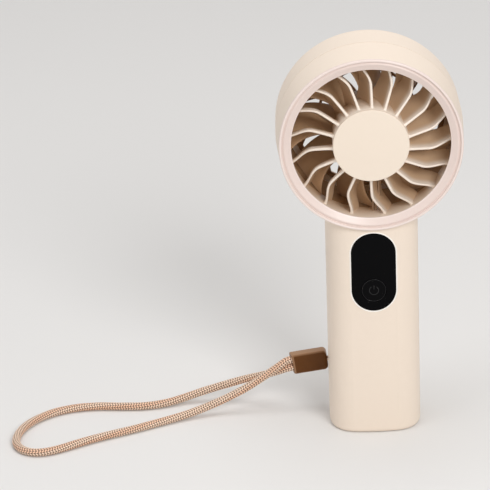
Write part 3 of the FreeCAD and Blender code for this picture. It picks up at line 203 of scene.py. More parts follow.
def closeEnds(grid):
    # a first and a last row that shrink to the middle of the row they close
    ones = np.ones((1, grid.shape[1], 1))
    first = grid[:1].mean(axis=1, keepdims=True)
    last = grid[-1:].mean(axis=1, keepdims=True)
    return np.concatenate([first * ones, grid, last * ones])


def newGroup(name, inputs, outputs):
    # a shader group that several finishes share, with its named inputs and outputs
    group = bpy.data.node_groups.new(name, "ShaderNodeTree")
    for label, kind, value in inputs:
        group.interface.new_socket(name=label, in_out="INPUT", socket_type=kind).default_value = value
    for label, kind in outputs:
        group.interface.new_socket(name=label, in_out="OUTPUT", socket_type=kind)
    return group, group.nodes.new("NodeGroupInput").outputs, group.nodes.new("NodeGroupOutput").inputs


def addNode(tree, kind, settings=None, **values):
    # values fill the node's inputs: a socket is linked, anything else is set
    node = tree.nodes.new(kind)
    for key, value in (settings or {}).items():
        setattr(node, key, value)
    for key, value in values.items():
        socket = node.inputs[int(key[1:]) if key[0] == "i" and key[1:].isdigit() else key]
        if isinstance(value, bpy.types.NodeSocket):
            tree.links.new(value, socket)
        else:
            socket.default_value = value
    return node


def mathNode(tree, operation, *values):
    return addNode(tree, "ShaderNodeMath", {"operation": operation},
                   **{"i%d" % i: value for i, value in enumerate(values)}).outputs[0]


def mixColors(tree, factor, first, second):
    return addNode(tree, "ShaderNodeMix", {"data_type": "RGBA"},
                   i0=factor, i6=first, i7=second).outputs[2]


def makeMouldGrain():
    # fine moulded texture: two sizes of noise for the height, a wide one for the gloss
    group, given, made = newGroup("mouldGrain", [
        ("Scale", "NodeSocketFloat", 2600.0), ("Gloss Scale", "NodeSocketFloat", 60.0),
        ("Roughness", "NodeSocketFloat", 0.5), ("Spread", "NodeSocketFloat", 0.06),
    ], [("Height", "NodeSocketFloat"), ("Roughness", "NodeSocketFloat")])
    place = addNode(group, "ShaderNodeTexCoord").outputs["Object"]
    fine = addNode(group, "ShaderNodeTexNoise", Vector=place, Scale=given["Scale"], Detail=3.0)
    coarse = addNode(group, "ShaderNodeTexNoise", Vector=place,
                     Scale=mathNode(group, "MULTIPLY", given["Scale"], 0.23), Detail=2.0)
    wide = addNode(group, "ShaderNodeTexNoise", Vector=place, Scale=given["Gloss Scale"], Detail=4.0)
    height = mathNode(group, "MULTIPLY_ADD", coarse.outputs["Fac"], 0.6, fine.outputs["Fac"])
    swing = mathNode(group, "SUBTRACT", wide.outputs["Fac"], 0.5)
    group.links.new(height, made["Height"])
    group.links.new(mathNode(group, "MULTIPLY_ADD", swing, given["Spread"], given["Roughness"]),
                    made["Roughness"])
    return group


def makeToneDrift():
    # a colour that drifts slowly between two near tones, with a finer mottle in it
    group, given, made = newGroup("toneDrift", [
        ("Light", "NodeSocketColor", (1, 1, 1, 1)), ("Dark", "NodeSocketColor", (0.9, 0.9, 0.9, 1)),
        ("Scale", "NodeSocketFloat", 14.0), ("Fine Scale", "NodeSocketFloat", 420.0),
    ], [("Color", "NodeSocketColor")])
    place = addNode(group, "ShaderNodeTexCoord").outputs["Object"]
    wide = addNode(group, "ShaderNodeTexNoise", Vector=place, Scale=given["Scale"], Detail=3.0)
    fine = addNode(group, "ShaderNodeTexNoise", Vector=place, Scale=given["Fine Scale"], Detail=2.0)
    both = mathNode(group, "MULTIPLY_ADD", fine.outputs["Fac"], 0.35, wide.outputs["Fac"])
    share = addNode(group, "ShaderNodeMapRange", {"clamp": True},
                    Value=both, **{"From Min": 0.45, "From Max": 0.90}).outputs["Result"]
    group.links.new(mixColors(group, share, given["Light"], given["Dark"]), made["Color"])
    return group


def makeBrushLines():
    # fine turned or drawn lines: noise stretched along one axis of the piece
    group, given, made = newGroup("brushLines", [
        ("Stretch", "NodeSocketVector", (900.0, 40.0, 900.0)),
        ("Roughness", "NodeSocketFloat", 0.3), ("Spread", "NodeSocketFloat", 0.2),
    ], [("Height", "NodeSocketFloat"), ("Roughness", "NodeSocketFloat")])
    place = addNode(group, "ShaderNodeTexCoord").outputs["Object"]
    stretched = addNode(group, "ShaderNodeVectorMath", {"operation": "MULTIPLY"},
                        i0=place, i1=given["Stretch"])
    lines = addNode(group, "ShaderNodeTexNoise", Vector=stretched.outputs[0], Scale=1.0, Detail=3.0)
    swing = mathNode(group, "SUBTRACT", lines.outputs["Fac"], 0.5)
    group.links.new(lines.outputs["Fac"], made["Height"])
    group.links.new(mathNode(group, "MULTIPLY_ADD", swing, given["Spread"], given["Roughness"]),
                    made["Roughness"])
    return group


groups = {"mouldGrain": makeMouldGrain(), "toneDrift": makeToneDrift(), "brushLines": makeBrushLines()}

# Finishes by the record's material slots: linear colours, scales in repeats per metre
plasticLook = ("light", "dark", "roughness", "grain", "depth", "specular", "second")
plastics = {
    "cream_shell": ((0.870, 0.750, 0.635), (0.850, 0.728, 0.612), 0.46, 2400.0, 0.10, 0.42),
    # blush_ring's second tone is a painted highlight on the bead's crest and along the opening's edge
    "blush_ring": ((0.805, 0.675, 0.622), (0.785, 0.655, 0.600), 0.30, 3600.0, 0.03, 0.50,
                   (0.950, 0.845, 0.800)),
    # cream_insert's second tone is a painted shade, darker brown deep in the duct
    "cream_insert": ((0.960, 0.860, 0.760), (0.940, 0.835, 0.730), 0.36, 3000.0, 0.04, 0.45,
                     (0.635, 0.448, 0.290)),
    # grille_cream's second tone is a painted shade on the grille's inner faces
    "grille_cream": ((0.870, 0.750, 0.635), (0.850, 0.728, 0.612), 0.46, 2400.0, 0.10, 0.42,
                     (0.440, 0.270, 0.150)),
    # duct_shade is a painted shade: a dark brown finish for a part deep in the duct
    "duct_shade": ((0.430, 0.262, 0.140), (0.400, 0.242, 0.128), 0.70, 3000.0, 0.04, 0.08),
    "cream_cap": ((0.885, 0.770, 0.650), (0.870, 0.752, 0.632), 0.42, 2600.0, 0.08, 0.42),
    "taupe_rotor": ((0.600, 0.400, 0.240), (0.520, 0.340, 0.200), 0.38, 2600.0, 0.05, 0.45),
    "black_gloss": ((0.0020, 0.0020, 0.0024), (0.0014, 0.0014, 0.0018), 0.09, 5000.0, 0.01, 0.05),
    "black_button": ((0.0022, 0.0022, 0.0026), (0.0016, 0.0016, 0.0020), 0.12, 5000.0, 0.02, 0.055),
    # brown_clamp's second tone is wear and painted highlight on its edges, and painted highlight on its lip and
    # top
    "brown_clamp": ((0.116, 0.041, 0.008), (0.100, 0.034, 0.006), 0.32, 2200.0, 0.06, 0.16,
                    (0.460, 0.268, 0.152)),
    "green_board": ((0.020, 0.120, 0.045), (0.012, 0.080, 0.030), 0.35, 1800.0, 0.10, 0.50),
    "display_grey": ((0.080, 0.083, 0.090), (0.060, 0.062, 0.068), 0.50, 2400.0, 0.08, 0.40),
    # a painted highlight: paler than the shell's cream, for the window's bright edge
    "trim_painted_highlight": ((0.975, 0.930, 0.870), (0.960, 0.915, 0.855), 0.24, 4000.0, 0.02, 0.60),
    "mark_grey": ((0.012, 0.012, 0.013), (0.008, 0.008, 0.009), 0.24, 5000.0, 0.02, 0.35),
    "switch_black": ((0.016, 0.016, 0.016), (0.012, 0.012, 0.012), 0.45, 2800.0, 0.08, 0.45),
    "cell_sleeve": ((0.040, 0.125, 0.300), (0.030, 0.100, 0.250), 0.28, 900.0, 0.04, 0.55),
    "cradle_grey": ((0.175, 0.175, 0.180), (0.150, 0.150, 0.155), 0.50, 2200.0, 0.10, 0.40),
    "wire_sleeve": ((0.480, 0.330, 0.215), (0.400, 0.270, 0.175), 0.42, 1600.0, 0.05, 0.45),
    "ferrite": ((0.030, 0.030, 0.032), (0.020, 0.020, 0.022), 0.60, 2600.0, 0.20, 0.35),
}
metalLook = ("light", "dark", "roughness", "stretch")
metals = {
    "bright_steel": ((0.56, 0.56, 0.57), (0.48, 0.48, 0.49), 0.24, (1500.0, 60.0, 1500.0)),
    "zinc_screw": ((0.50, 0.50, 0.49), (0.40, 0.40, 0.40), 0.34, (1200.0, 120.0, 1200.0)),
    "brass_tube": ((0.72, 0.50, 0.20), (0.62, 0.42, 0.16), 0.26, (260.0, 3000.0, 260.0)),
    "lamination": ((0.20, 0.20, 0.21), (0.12, 0.12, 0.13), 0.42, (60.0, 2900.0, 60.0)),
    "copper_wire": ((0.62, 0.27, 0.12), (0.45, 0.17, 0.07), 0.30, (2200.0, 60.0, 2200.0)),
    "nickel_strip": ((0.60, 0.58, 0.54), (0.50, 0.48, 0.45), 0.30, (60.0, 1400.0, 1400.0)),
}
braidLook = {
    # the gap colour is painted shade between the ribs
    "light": (1.000, 0.640, 0.435), "dark": (0.810, 0.450, 0.280), "gap": (0.090, 0.035, 0.015),
    "fleck": (1.000, 0.870, 0.710), "roughness": 0.36, "sheen": 0.10,
}
# painted shade: the impeller duct wears duct_shade, dark brown instead of its slot's own finish
nodeFinish = {"impeller_duct": "duct_shade"}    # nodes that don't wear their slot's own finish
materials = {}


def newMaterial(name):
    # a material with its node tree and its Principled shader
    material = bpy.data.materials.new(name)
    material.use_nodes = True
    return material, material.node_tree, material.node_tree.nodes["Principled BSDF"]


def useGroup(tree, name, **values):
    return addNode(tree, "ShaderNodeGroup", {"node_tree": groups[name]}, **values).outputs


def opaque(color):
    return (*color, 1.0)


def linkShader(tree, shader, color, roughness, bump):
    # colour, gloss and bump into the shader
    tree.links.new(color, shader.inputs["Base Color"])
    tree.links.new(roughness, shader.inputs["Roughness"])
    tree.links.new(bump.outputs["Normal"], shader.inputs["Normal"])


def makePlastic(name, look):
    # a drifting tone, and moulded grain in its gloss and bump
    material, tree, shader = newMaterial(name)
    tone = useGroup(tree, "toneDrift", Light=opaque(look["light"]), Dark=opaque(look["dark"]))
    grain = useGroup(tree, "mouldGrain", Scale=look["grain"], Roughness=look["roughness"])
    bump = addNode(tree, "ShaderNodeBump", Height=grain["Height"], Strength=look["depth"], Distance=0.0001)
    color = tone["Color"]
    if "second" in look:
        # the mesh says where the second tone lies: painted shade deep inside, painted highlight on a crest or an
        # edge, or wear with painted highlight on an edge
        share = addNode(tree, "ShaderNodeAttribute", {"attribute_name": "secondShare"}).outputs["Fac"]
        color = mixColors(tree, share, color, opaque(look["second"]))
    linkShader(tree, shader, color, grain["Roughness"], bump)
    shader.inputs["Specular IOR Level"].default_value = look["specular"]
    return material


def makeMetal(name, look):
    # a drifting tone, and drawn lines in its gloss and bump
    material, tree, shader = newMaterial(name)
    tone = useGroup(tree, "toneDrift", Light=opaque(look["light"]), Dark=opaque(look["dark"]), Scale=160.0)
    lines = useGroup(tree, "brushLines", Stretch=look["stretch"], Roughness=look["roughness"])
    bump = addNode(tree, "ShaderNodeBump", Height=lines["Height"], Strength=0.12, Distance=0.0001)
    linkShader(tree, shader, tone["Color"], lines["Roughness"], bump)
    shader.inputs["Metallic"].default_value = 1.0
    return material


def makeBraid(name, look):
    # painted shade: the ribs' height darkens the gaps; the UV map carries fibres along each rib and flecks of
    # light yarn
    material, tree, shader = newMaterial(name)
    rib = addNode(tree, "ShaderNodeAttribute", {"attribute_name": "ribHeight"}).outputs["Fac"]
    pale = addNode(tree, "ShaderNodeAttribute", {"attribute_name": "paleYarn"}).outputs["Fac"]
    place = addNode(tree, "ShaderNodeUVMap", {"uv_map": "UVMap"}).outputs["UV"]
    stretched = addNode(tree, "ShaderNodeMapping", Vector=place, Scale=(90.0, 5.0, 1.0)).outputs["Vector"]
    fibres = addNode(tree, "ShaderNodeTexNoise", Vector=stretched, Scale=1.0, Detail=3.0).outputs["Fac"]
    wide = addNode(tree, "ShaderNodeTexNoise", Vector=place, Scale=0.35, Detail=2.0).outputs["Fac"]
    # painted shade: low in the ribs the colour falls to the gap's
    top = addNode(tree, "ShaderNodeMapRange", {"clamp": True, "interpolation_type": "SMOOTHSTEP"},
                  Value=rib, **{"From Min": 0.44, "From Max": 0.92}).outputs["Result"]
    yarn = mixColors(tree, mathNode(tree, "MULTIPLY", wide, 0.9),
                     opaque(look["light"]), opaque(look["dark"]))
    fleck = mixColors(tree, mathNode(tree, "MULTIPLY", pale, fibres), yarn, opaque(look["fleck"]))
    tree.links.new(mixColors(tree, top, opaque(look["gap"]), fleck), shader.inputs["Base Color"])
    bump = addNode(tree, "ShaderNodeBump", Height=fibres, Strength=0.25, Distance=0.0001)
    tree.links.new(bump.outputs["Normal"], shader.inputs["Normal"])
    shader.inputs["Roughness"].default_value = look["roughness"]
    shader.inputs["Sheen Weight"].default_value = look["sheen"]
    return material


def makeMaterials():
    # every finish, and each CAD node dressed in that of its slot
    for slot, look in plastics.items():
        materials[slot] = makePlastic(slot, dict(zip(plasticLook, look)))
    for slot, look in metals.items():
        materials[slot] = makeMetal(slot, dict(zip(metalLook, look)))
    materials["braid"] = makeBraid("braid", braidLook)
    for row in record["subparts"]:
        mesh = nodes[row["node"]].data
        mesh.materials.clear()
        mesh.materials.append(materials[nodeFinish.get(row["node"], row["material_slot"])])
    print("materials", len(materials))


# Wrist strap: route of the cord from the clamp's upper strand round the loop to the lower one, in metres
strapRoute = [
    (-0.035932, 0.011978, 0.024338), (-0.039894, 0.011978, 0.023781),
    (-0.0430, 0.0112, 0.0220), (-0.0500, 0.0096, 0.0177), (-0.0570, 0.0083, 0.0135),
    (-0.0645, 0.0072, 0.0097), (-0.0740, 0.0056, 0.0059), (-0.0840, 0.0029, 0.0031),
    (-0.0944, -0.0014, 0.00195), (-0.1046, -0.0064, 0.00192), (-0.1146, -0.0114, 0.00192),
    (-0.1247, -0.0156, 0.00192), (-0.1350, -0.0206, 0.00192), (-0.1442, -0.0262, 0.00192),
    (-0.1516, -0.0300, 0.00192), (-0.1590, -0.0309, 0.00192), (-0.1649, -0.0270, 0.00192),
    (-0.1677, -0.0203, 0.00192), (-0.1672, -0.0118, 0.00192), (-0.1639, -0.0034, 0.00192),
    (-0.1583, 0.0039, 0.00192), (-0.1508, 0.0098, 0.00192), (-0.1413, 0.0135, 0.00192),
    (-0.1308, 0.0145, 0.00192), (-0.1200, 0.0133, 0.00192), (-0.1100, 0.0125, 0.00192),
    (-0.0998, 0.0140, 0.00195), (-0.0898, 0.0176, 0.0029), (-0.0796, 0.0198, 0.0054),
    (-0.0690, 0.0195, 0.0086), (-0.0595, 0.0178, 0.0120), (-0.0508, 0.0150, 0.0150),
    (-0.0436, 0.0128, 0.0182), (-0.039351, 0.011978, 0.019919), (-0.035390, 0.011978, 0.020476),
]
# The string: out of the clamp's slot, round the pin in the handle's pocket and back
stringRoute = [
    (-0.027343, 0.010678, 0.023576), (-0.020411, 0.010678, 0.024550), (-0.016018, 0.006898, 0.0244),
    (-0.014319, 0.005915, 0.0244), (-0.012618, 0.006895, 0.0244), (-0.012616, 0.008858, 0.0244),
    (-0.014315, 0.009841, 0.0244), (-0.020411, 0.013278, 0.024550), (-0.027343, 0.013278, 0.023576),
]
# ribs in columns round a strand; step, pitch and relief in millimetres, twist in turns per 100 mm
cordSizes = {
    "radius": 1.9, "columns": 10, "samples": 5, "step": 0.185,
    "pitch": 1.24, "slant": 0.56, "relief": 0.42, "twist": 0.8,
}
stringSizes = {
    "radius": 0.6, "columns": 6, "samples": 4, "step": 0.10,
    "pitch": 0.45, "slant": 0.7, "relief": 0.10, "twist": 0.5,
}
braidShape = {"flatTop": 0.96, "columnWidth": 2.12, "palest": 1.0, "plain": 0.25}


def splinePoints(name, route, resolution=16):
    # the NURBS line with the route as its control points, as points in millimetres
    curve = bpy.data.curves.new(name, "CURVE")
    curve.dimensions = "3D"
    curve.resolution_u = resolution
    curve.render_resolution_u = resolution
    spline = curve.splines.new("NURBS")
    spline.points.add(len(route) - 1)
    spline.points.foreach_set("co", np.column_stack([np.array(route), np.ones(len(route))]).ravel())
    spline.order_u = 3
    spline.use_endpoint_u = True
    holder = newObject(name, curve)
    mesh = bpy.data.meshes.new_from_object(holder.evaluated_get(bpy.context.evaluated_depsgraph_get()))
    line = np.zeros(len(mesh.vertices) * 3)
    mesh.vertices.foreach_get("co", line)
    bpy.data.objects.remove(holder)
    bpy.data.curves.remove(curve)
    bpy.data.meshes.remove(mesh)
    return line.reshape(-1, 3) / mm


def evenLine(line, step):
    # the same line with points an even step apart
    along = np.concatenate([[0], np.cumsum(np.linalg.norm(np.diff(line, axis=0), axis=1))])
    even = np.linspace(0, along[-1], int(round(along[-1] / step)) + 1)
    return np.stack([np.interp(even, along, line[:, k]) for k in range(3)], axis=1), even


def braidedTube(name, route, values):
    # a tube round the line: columns of slanted ribs, mirrored from one column to the next,
    # radius = full radius - relief x (1 - rib height)
    size = SimpleNamespace(**values)
    radius, columns, samples = size.radius, size.columns, size.samples
    line, along = evenLine(splinePoints(name + "Line", route), size.step)
    ahead = unit(np.gradient(line, axis=0))
    aside = unit(np.cross(ahead, np.array([0.0, 0.0, 1.0])))
    above = np.cross(aside, ahead)
    around = np.arange(columns * samples) / (columns * samples)
    column = np.floor(around * columns + 1e-9)
    across = around * columns - column - 0.5 + 0.5 / samples
    lean = 1 - 2 * (column % 2)
    phase = along[:, None] / size.pitch + lean * across * size.slant
    sawtooth = 2 * (phase - np.floor(phase)) - 1
    rib = (np.sqrt(np.clip(1 - braidShape["flatTop"] * sawtooth ** 2, 0, 1))
           * np.sqrt(np.clip(1 - (braidShape["columnWidth"] * across) ** 4, 0, 1)))
    turn = 2 * math.pi * (around + size.twist * along[:, None] / 100)
    reach = (radius - size.relief * (1 - rib))[..., None]
    outwards = np.cos(turn)[..., None] * aside[:, None] + np.sin(turn)[..., None] * above[:, None]
    grid = line[:, None] + reach * outwards
    # two columns in four are of the paler yarn
    pale = np.where(column % 4 < 2, braidShape["palest"], braidShape["plain"])
    pale = np.broadcast_to(pale, rib.shape)
    rows, count = rib.shape
    i, j = np.meshgrid(np.arange(rows - 1), np.arange(count), indexing="ij")
    corners = np.stack([np.stack([(j + dj) / count, along[i + di] / (2 * math.pi * radius)], axis=-1)
                        for di, dj in ((0, 0), (0, 1), (1, 1), (1, 0))], axis=2)
    ends = [np.repeat(line[[k]], count, 0)[None] for k in (0, -1)]
    grid = np.concatenate([ends[0], grid, ends[1]])
    closing = np.zeros((1, count, 4, 2))
    corners = np.concatenate([closing, corners, closing])
    blank = np.zeros((1, count))
    shares = {"ribHeight": np.concatenate([blank, rib, blank]),
              "paleYarn": np.concatenate([blank, pale, blank])}
    mesh = gridMesh(name, [(grid, False, True)], sharpDegrees=60, uv=corners, values=shares)
    return mesh, line * mm


def addStrap():
    # both strands, with their lines and lengths in metres
    cordMesh, cordLine = braidedTube("strapCord", strapRoute, cordSizes)
    stringMesh, stringLine = braidedTube("strapString", stringRoute, stringSizes)
    cord = addPiece("strapCord", cordMesh, "housing", "braid", ["strap_cord"])
    string = addPiece("strapString", stringMesh, "housing", "braid", ["strap_string"])
    lengths = [float(np.linalg.norm(np.diff(line, axis=0), axis=1).sum())
               for line in (cordLine, stringLine)]
    print("cord %.4f m, string %.4f m" % tuple(lengths))
    return cord, cordLine, string, stringLine, lengths


clampSizes = {
    "middle": (-30.0165, 11.9779, 23.2), "tilt": 8.0,
    "length": 17.4, "height": 10.0, "thickness": 5.4, "edge": 1.05,
    "mouthDepth": 3.0, "mouthHeight": 7.8, "mouthWidth": 3.9, "mouthRound": 1.8, "lipRound": 0.34,
    "mouthSlant": 1.3, "rimDepth": 0.95,
    "endRound": 2.0, "endNarrow": 0.4, "slotDepth": 6.0, "slotHeight": 1.6, "slotWidth": 4.2,
    "slotRound": 0.5, "slotEdge": 0.12, "slotSpread": 0.1,
    # painted highlight on the lip and along the top; wear and painted highlight along the long edges
    "edgeWear": 0.36, "lipWear": 0.55, "topWear": 0.72, "topSteepness": 12,
}


def roundedRectangle(halfA, halfB, radius, steps=10):
    # for each row: four corner arcs of that row's radius, in order round the rectangle
    turn = np.radians(np.concatenate([np.linspace(q * 90, (q + 1) * 90, steps) for q in range(4)]))
    signA = np.repeat([1, -1, -1, 1], steps)
    signB = np.repeat([1, 1, -1, -1], steps)
    halfA, halfB, radius = (np.array(v, float)[:, None] for v in (halfA, halfB, radius))
    a = signA * (halfA - radius) + radius * np.cos(turn)
    b = signB * (halfB - radius) + radius * np.sin(turn)
    return a, b


def addClamp(values):
    # sections along the clamp: mouth floor, mouth wall, lip, sleeve, rounded end, slot wall, slot floor
    size = SimpleNamespace(**values)
    half = size.length / 2
    outer = (size.height / 2, size.thickness / 2, size.edge)
    mouth = (size.mouthHeight / 2, size.mouthWidth / 2, size.mouthRound)
    slot = (size.slotHeight / 2, size.slotWidth / 2, size.slotRound)
    lip, rim = size.lipRound, size.rimDepth
    end, narrow = size.endRound, size.endNarrow
    # rows: 0 is the mouth's floor, 1 to 6 the inner lip, 7 to 12 the outer lip, 13 to 24 the end
    quarter = np.linspace(0, math.pi / 2, 6)
    stations = [(size.mouthDepth - half, *mouth)]
    for t in quarter:
        wider = lip * (1 - math.cos(t))
        stations.append((lip - half - lip * math.sin(t), mouth[0] + wider, mouth[1] + wider, mouth[2]))
    for t in quarter:
        inset = lip * (1 - math.sin(t))
        stations.append((rim - half - rim * math.cos(t), outer[0] - inset, outer[1] - inset, outer[2]))
    for t in np.linspace(0, math.pi / 2, 12):
        fall = 1 - math.cos(t)
        stations.append((half - end + end * math.sin(t), outer[0] - end * fall, outer[1] - narrow * fall,
                         outer[2]))
    stations += [(half, slot[0] + size.slotEdge, slot[1] + size.slotSpread, slot[2]),
                 (half - size.slotEdge, *slot), (half - size.slotDepth, *slot)]
    x, halfUp, halfAside, radius = np.array(stations).T
    up, aside = roundedRectangle(halfUp, halfAside, radius)
    tilt = math.radians(size.tilt)
    # both lips are cut back towards the front
    cut = np.zeros((len(x), 1))
    cut[1:13] = 1
    along = x[:, None] + size.mouthSlant * cut * (0.5 - aside / size.thickness)
    grid = np.stack([along * math.cos(tilt) - up * math.sin(tilt), aside,
                     along * math.sin(tilt) + up * math.cos(tilt)], axis=-1) + np.array(size.middle)
    # paler along its four long edges, as wear and painted highlight, and a painted highlight round the mouth's
    # lip and along its top
    outside, lips, shown = slice(7, 25), slice(4, 12), slice(4, 25)
    steepness = size.topSteepness
    top = eased(steepness * up[shown] / halfUp[shown, None] - (steepness - 1))
    wearAndHighlight = np.zeros(up.shape)
    wearAndHighlight[outside] = size.edgeWear * np.tile(np.sin(np.linspace(0, math.pi, 10)) ** 2, 4)
    wearAndHighlight[lips] = np.maximum(wearAndHighlight[lips], size.lipWear)
    wearAndHighlight[shown] = np.maximum(wearAndHighlight[shown], size.topWear * top)
    wearAndHighlight = np.concatenate([wearAndHighlight[:1], wearAndHighlight, wearAndHighlight[-1:]])
    mesh = gridMesh("strapClamp", [(closeEnds(grid), False, True)], sharpDegrees=40,
                    values={"secondShare": wearAndHighlight})
    return addPiece("strapClamp", mesh, "housing", "brown_clamp", ["strap_clamp"])


def bladeGrid(radius, degrees, aside, y, thickness):
    # centre line (aside, y) at each radius, with half the thickness to each side of it;
    # aside is measured across the radius at that angle
    turn = np.radians(degrees)[:, None]
    left, right = aside + thickness / 2, (aside - thickness / 2)[:, ::-1]
    offset = np.concatenate([left, right], axis=1)
    depth = np.concatenate([y, y[:, ::-1]], axis=1)
    x = radius[:, None] * np.cos(turn) - offset * np.sin(turn)
    z = axisHeight + radius[:, None] * np.sin(turn) + offset * np.cos(turn)
    return closeEnds(np.stack([x, depth, z], axis=-1)), False, True


def roundedShares(depth, frontRound, rearRound, steps=7, middle=9):
    # distances from the front edge that follow a circle at both ends, and the thickness left there
    turn = np.linspace(0, math.pi / 2, steps)
    front = frontRound * (1 - np.cos(turn))
    rear = rearRound * (1 - np.cos(turn[::-1]))
    inner = np.linspace(0, 1, middle + 2)[1:-1]
    reach = [np.concatenate([front, frontRound + (d - frontRound - rearRound) * inner, d - rear])
             for d in depth]
    full = np.concatenate([np.sin(turn), np.ones(middle), np.sin(turn[::-1])])
    return np.array(reach), full


insertSizes = {
    "ductInside": 37.7, "ductOutside": 38.9, "front": -18.7, "rear": -3.0, "flangeOutside": 39.1,
    "flangeFront": -18.15, "flangeDepth": 1.2, "flangeSink": 0.6, "drumWall": 1.3, "drumFront": -19.4,
    "drumRear": -5.6, "webFront": -8.6, "webRear": -7.0, "tube": 3.45, "shadeDepth": 10.0,
}
vaneSizes = {
    "count": 18, "gap": 3.1, "gapTurn": -102.5, "opening": 35.9, "thickness": 1.2, "tail": 0.75,
    "sweep": 2.4, "bend": 7.25, "knee": 0.5, "kneeReach": 0.6, "rootSetback": 1.7, "lean": 5.8,
    "inlet": 42.0, "rear": -7.3, "flare": 0.55, "flareReach": 0.55, "drumSink": 0.9, "ductSink": 0.6,
    "rows": 30, "paleReach": 0.9, "shadeReach": 4.3,
}


def vaneGrids(values):
    # share = how far out from the drum; the front edge's angle = sweep share + bend eased past the knee
    size = SimpleNamespace(**values)
    near = np.array([0.05, 0.2, 0.45, 0.8])    # closer rows where a vane widens into the drum and the duct
    radius = np.sort(np.concatenate([
        np.linspace(drumRadius - size.drumSink, size.ductInside + size.ductSink, size.rows),
        drumRadius + near, size.ductInside - near]))
    share = (radius - drumRadius) / (size.opening - drumRadius)
    pastKnee = eased((share - size.knee) / size.kneeReach)
    degrees = size.sweep * share + size.bend * pastKnee
    front = barrelFront + size.rootSetback + size.lean * (1.38 * share - 0.38 * share ** 2)
    depth = size.rear - front
    reach, full = roundedShares(depth, size.thickness / 2, size.tail / 2)
    part = reach / depth[:, None]
    aside = depth[:, None] * math.tan(math.radians(size.inlet) / 2) * part ** 2
    flare = size.flare * (np.exp(-np.abs(radius - drumRadius) / size.flareReach)
                          + np.exp(-np.abs(size.ductInside - radius) / size.flareReach))
    taper = size.tail - size.thickness
    thickness = (size.thickness + taper * part + flare[:, None]) * full
    step = (360 - size.gap) / size.count
    first = size.gapTurn - (step + size.gap) / 2
    grids = [bladeGrid(radius, degrees + first - k * step, aside, front[:, None] + reach, thickness)
             for k in range(size.count)]
    # painted shade: from paleReach behind the front edge the vane darkens over shadeReach
    shade = eased((reach - size.paleReach) / size.shadeReach)
    shade = np.concatenate([shade, shade[:, ::-1]], axis=1)
    return grids, np.tile(np.concatenate([shade[:1], shade, shade[-1:]]).ravel(), size.count)


def addInsert(values):
    # rounded outlines of web, duct ring, flange and drum turned round the axis, and the vanes between them
    size = SimpleNamespace(**values)
    drum, wall = drumRadius, size.drumWall
    seat = size.ductInside + size.flangeSink
    flangeRear = size.flangeFront + size.flangeDepth
    web = [(size.tube, size.webFront), (drum - wall / 2, size.webFront),
           (drum - wall / 2, size.webRear), (size.tube, size.webRear)]
    duct = [(size.ductInside, size.front, 0.2), (size.ductOutside, size.front),
            (size.ductOutside, size.rear), (size.ductInside, size.rear, 0.1)]
    flange = [(seat, size.flangeFront), (size.flangeOutside, size.flangeFront, 0.2),
              (size.flangeOutside, flangeRear, 0.2), (seat, flangeRear)]
    shell = [(drum - wall, size.drumFront), (drum, size.drumFront, 0.1),
             (drum, size.drumRear, 0.35), (drum - wall, size.drumRear, 0.2)]
    grids = [revolved(outline) for outline in (web, duct, flange, shell)]
    vanes, vaneShade = vaneGrids({**vaneSizes, **values})
    # painted shade: the second tone grows with depth behind the drum's front
    depth = np.concatenate([grid[..., 1].ravel() for grid, _, _ in grids]) - size.drumFront
    shade = np.concatenate([eased(depth / size.shadeDepth), vaneShade])
    mesh = gridMesh("guideInsert", grids + vanes, values={"secondShare": shade})
    addPiece("guideInsert", mesh, "housing", "cream_insert", ["guide_vanes"])


ringSizes = {
    "lipWidth": 1.2, "lipRound": 0.52, "innerLipRound": 0.5, "rimRound": 0.12,
    "grooveDrop": 1.0, "grooveWidth": 0.35, "grooveSlope": 0.95, "grooveDraft": 0.05,
    "grooveRound": 0.1, "floorRound": 0.15, "bandDrop": 0.55, "bandRound": 0.5, "coneDrop": 2.1,
    "ringWidth": 5.5, "nose": 0.8, "noseRound": 0.32, "noseBack": 0.2,
    "ductInside": 37.7, "ductLap": 0.5, "spigot": 39.1, "seatGap": 0.05, "segments": 256,
    "crestReach": 0.6, "crestLight": 0.45, "noseReach": 0.34, "noseLight": 0.80,
}


def addRing(values):
    # a rounded bead, a shadow groove behind it, then the cone down to the air opening
    size = SimpleNamespace(**values)
    lip = ringLow[1]
    inner, edge = rimRadius - size.lipWidth, rimRadius - size.ringWidth
    floor = inner - size.grooveWidth
    band = floor - size.grooveSlope
    back = insertSizes["front"] - size.seatGap
    fall = (size.coneDrop - size.bandDrop) / (band - edge)
    ends = (size.bandRound + 0.1, band - edge - size.noseReach - size.noseRound)
    cone = [(band - step, lip + size.bandDrop + fall * step) for step in ends]
    grid = revolved([
        (rimRadius, barrelFront, size.rimRound), (rimRadius, lip, size.lipRound),
        (inner, lip, size.innerLipRound),
        (inner - size.grooveDraft, lip + size.grooveDrop, size.grooveRound),
        (floor, lip + size.grooveDrop, size.floorRound),
        (band, lip + size.bandDrop, size.bandRound), *cone,
        (edge, lip + size.coneDrop, size.noseRound),
        (edge, lip + size.coneDrop + size.nose, size.noseBack),
        (size.ductInside - size.ductLap, back), (size.spigot, back),
        (size.spigot, barrelFront),
    ], segments=size.segments)
    # painted highlight: paler on the bead's crest and along the edge of the opening
    radius = np.hypot(grid[0][..., 0], grid[0][..., 2] - axisHeight).ravel()
    crest = eased(1 - np.abs(radius - (rimRadius + inner) / 2) / size.crestReach)
    nose = eased(1 - np.abs(radius - edge) / size.noseReach)
    light = np.maximum(size.crestLight * crest, size.noseLight * nose)
    mesh = gridMesh("frontRing", [grid], values={"secondShare": light})
    addPiece("frontRing", mesh, "housing", "blush_ring", ["front_ring"])


capSizes = {"edge": 0.45, "rearEdge": 0.12, "seatGap": 0.05, "spigotWall": 1.1}


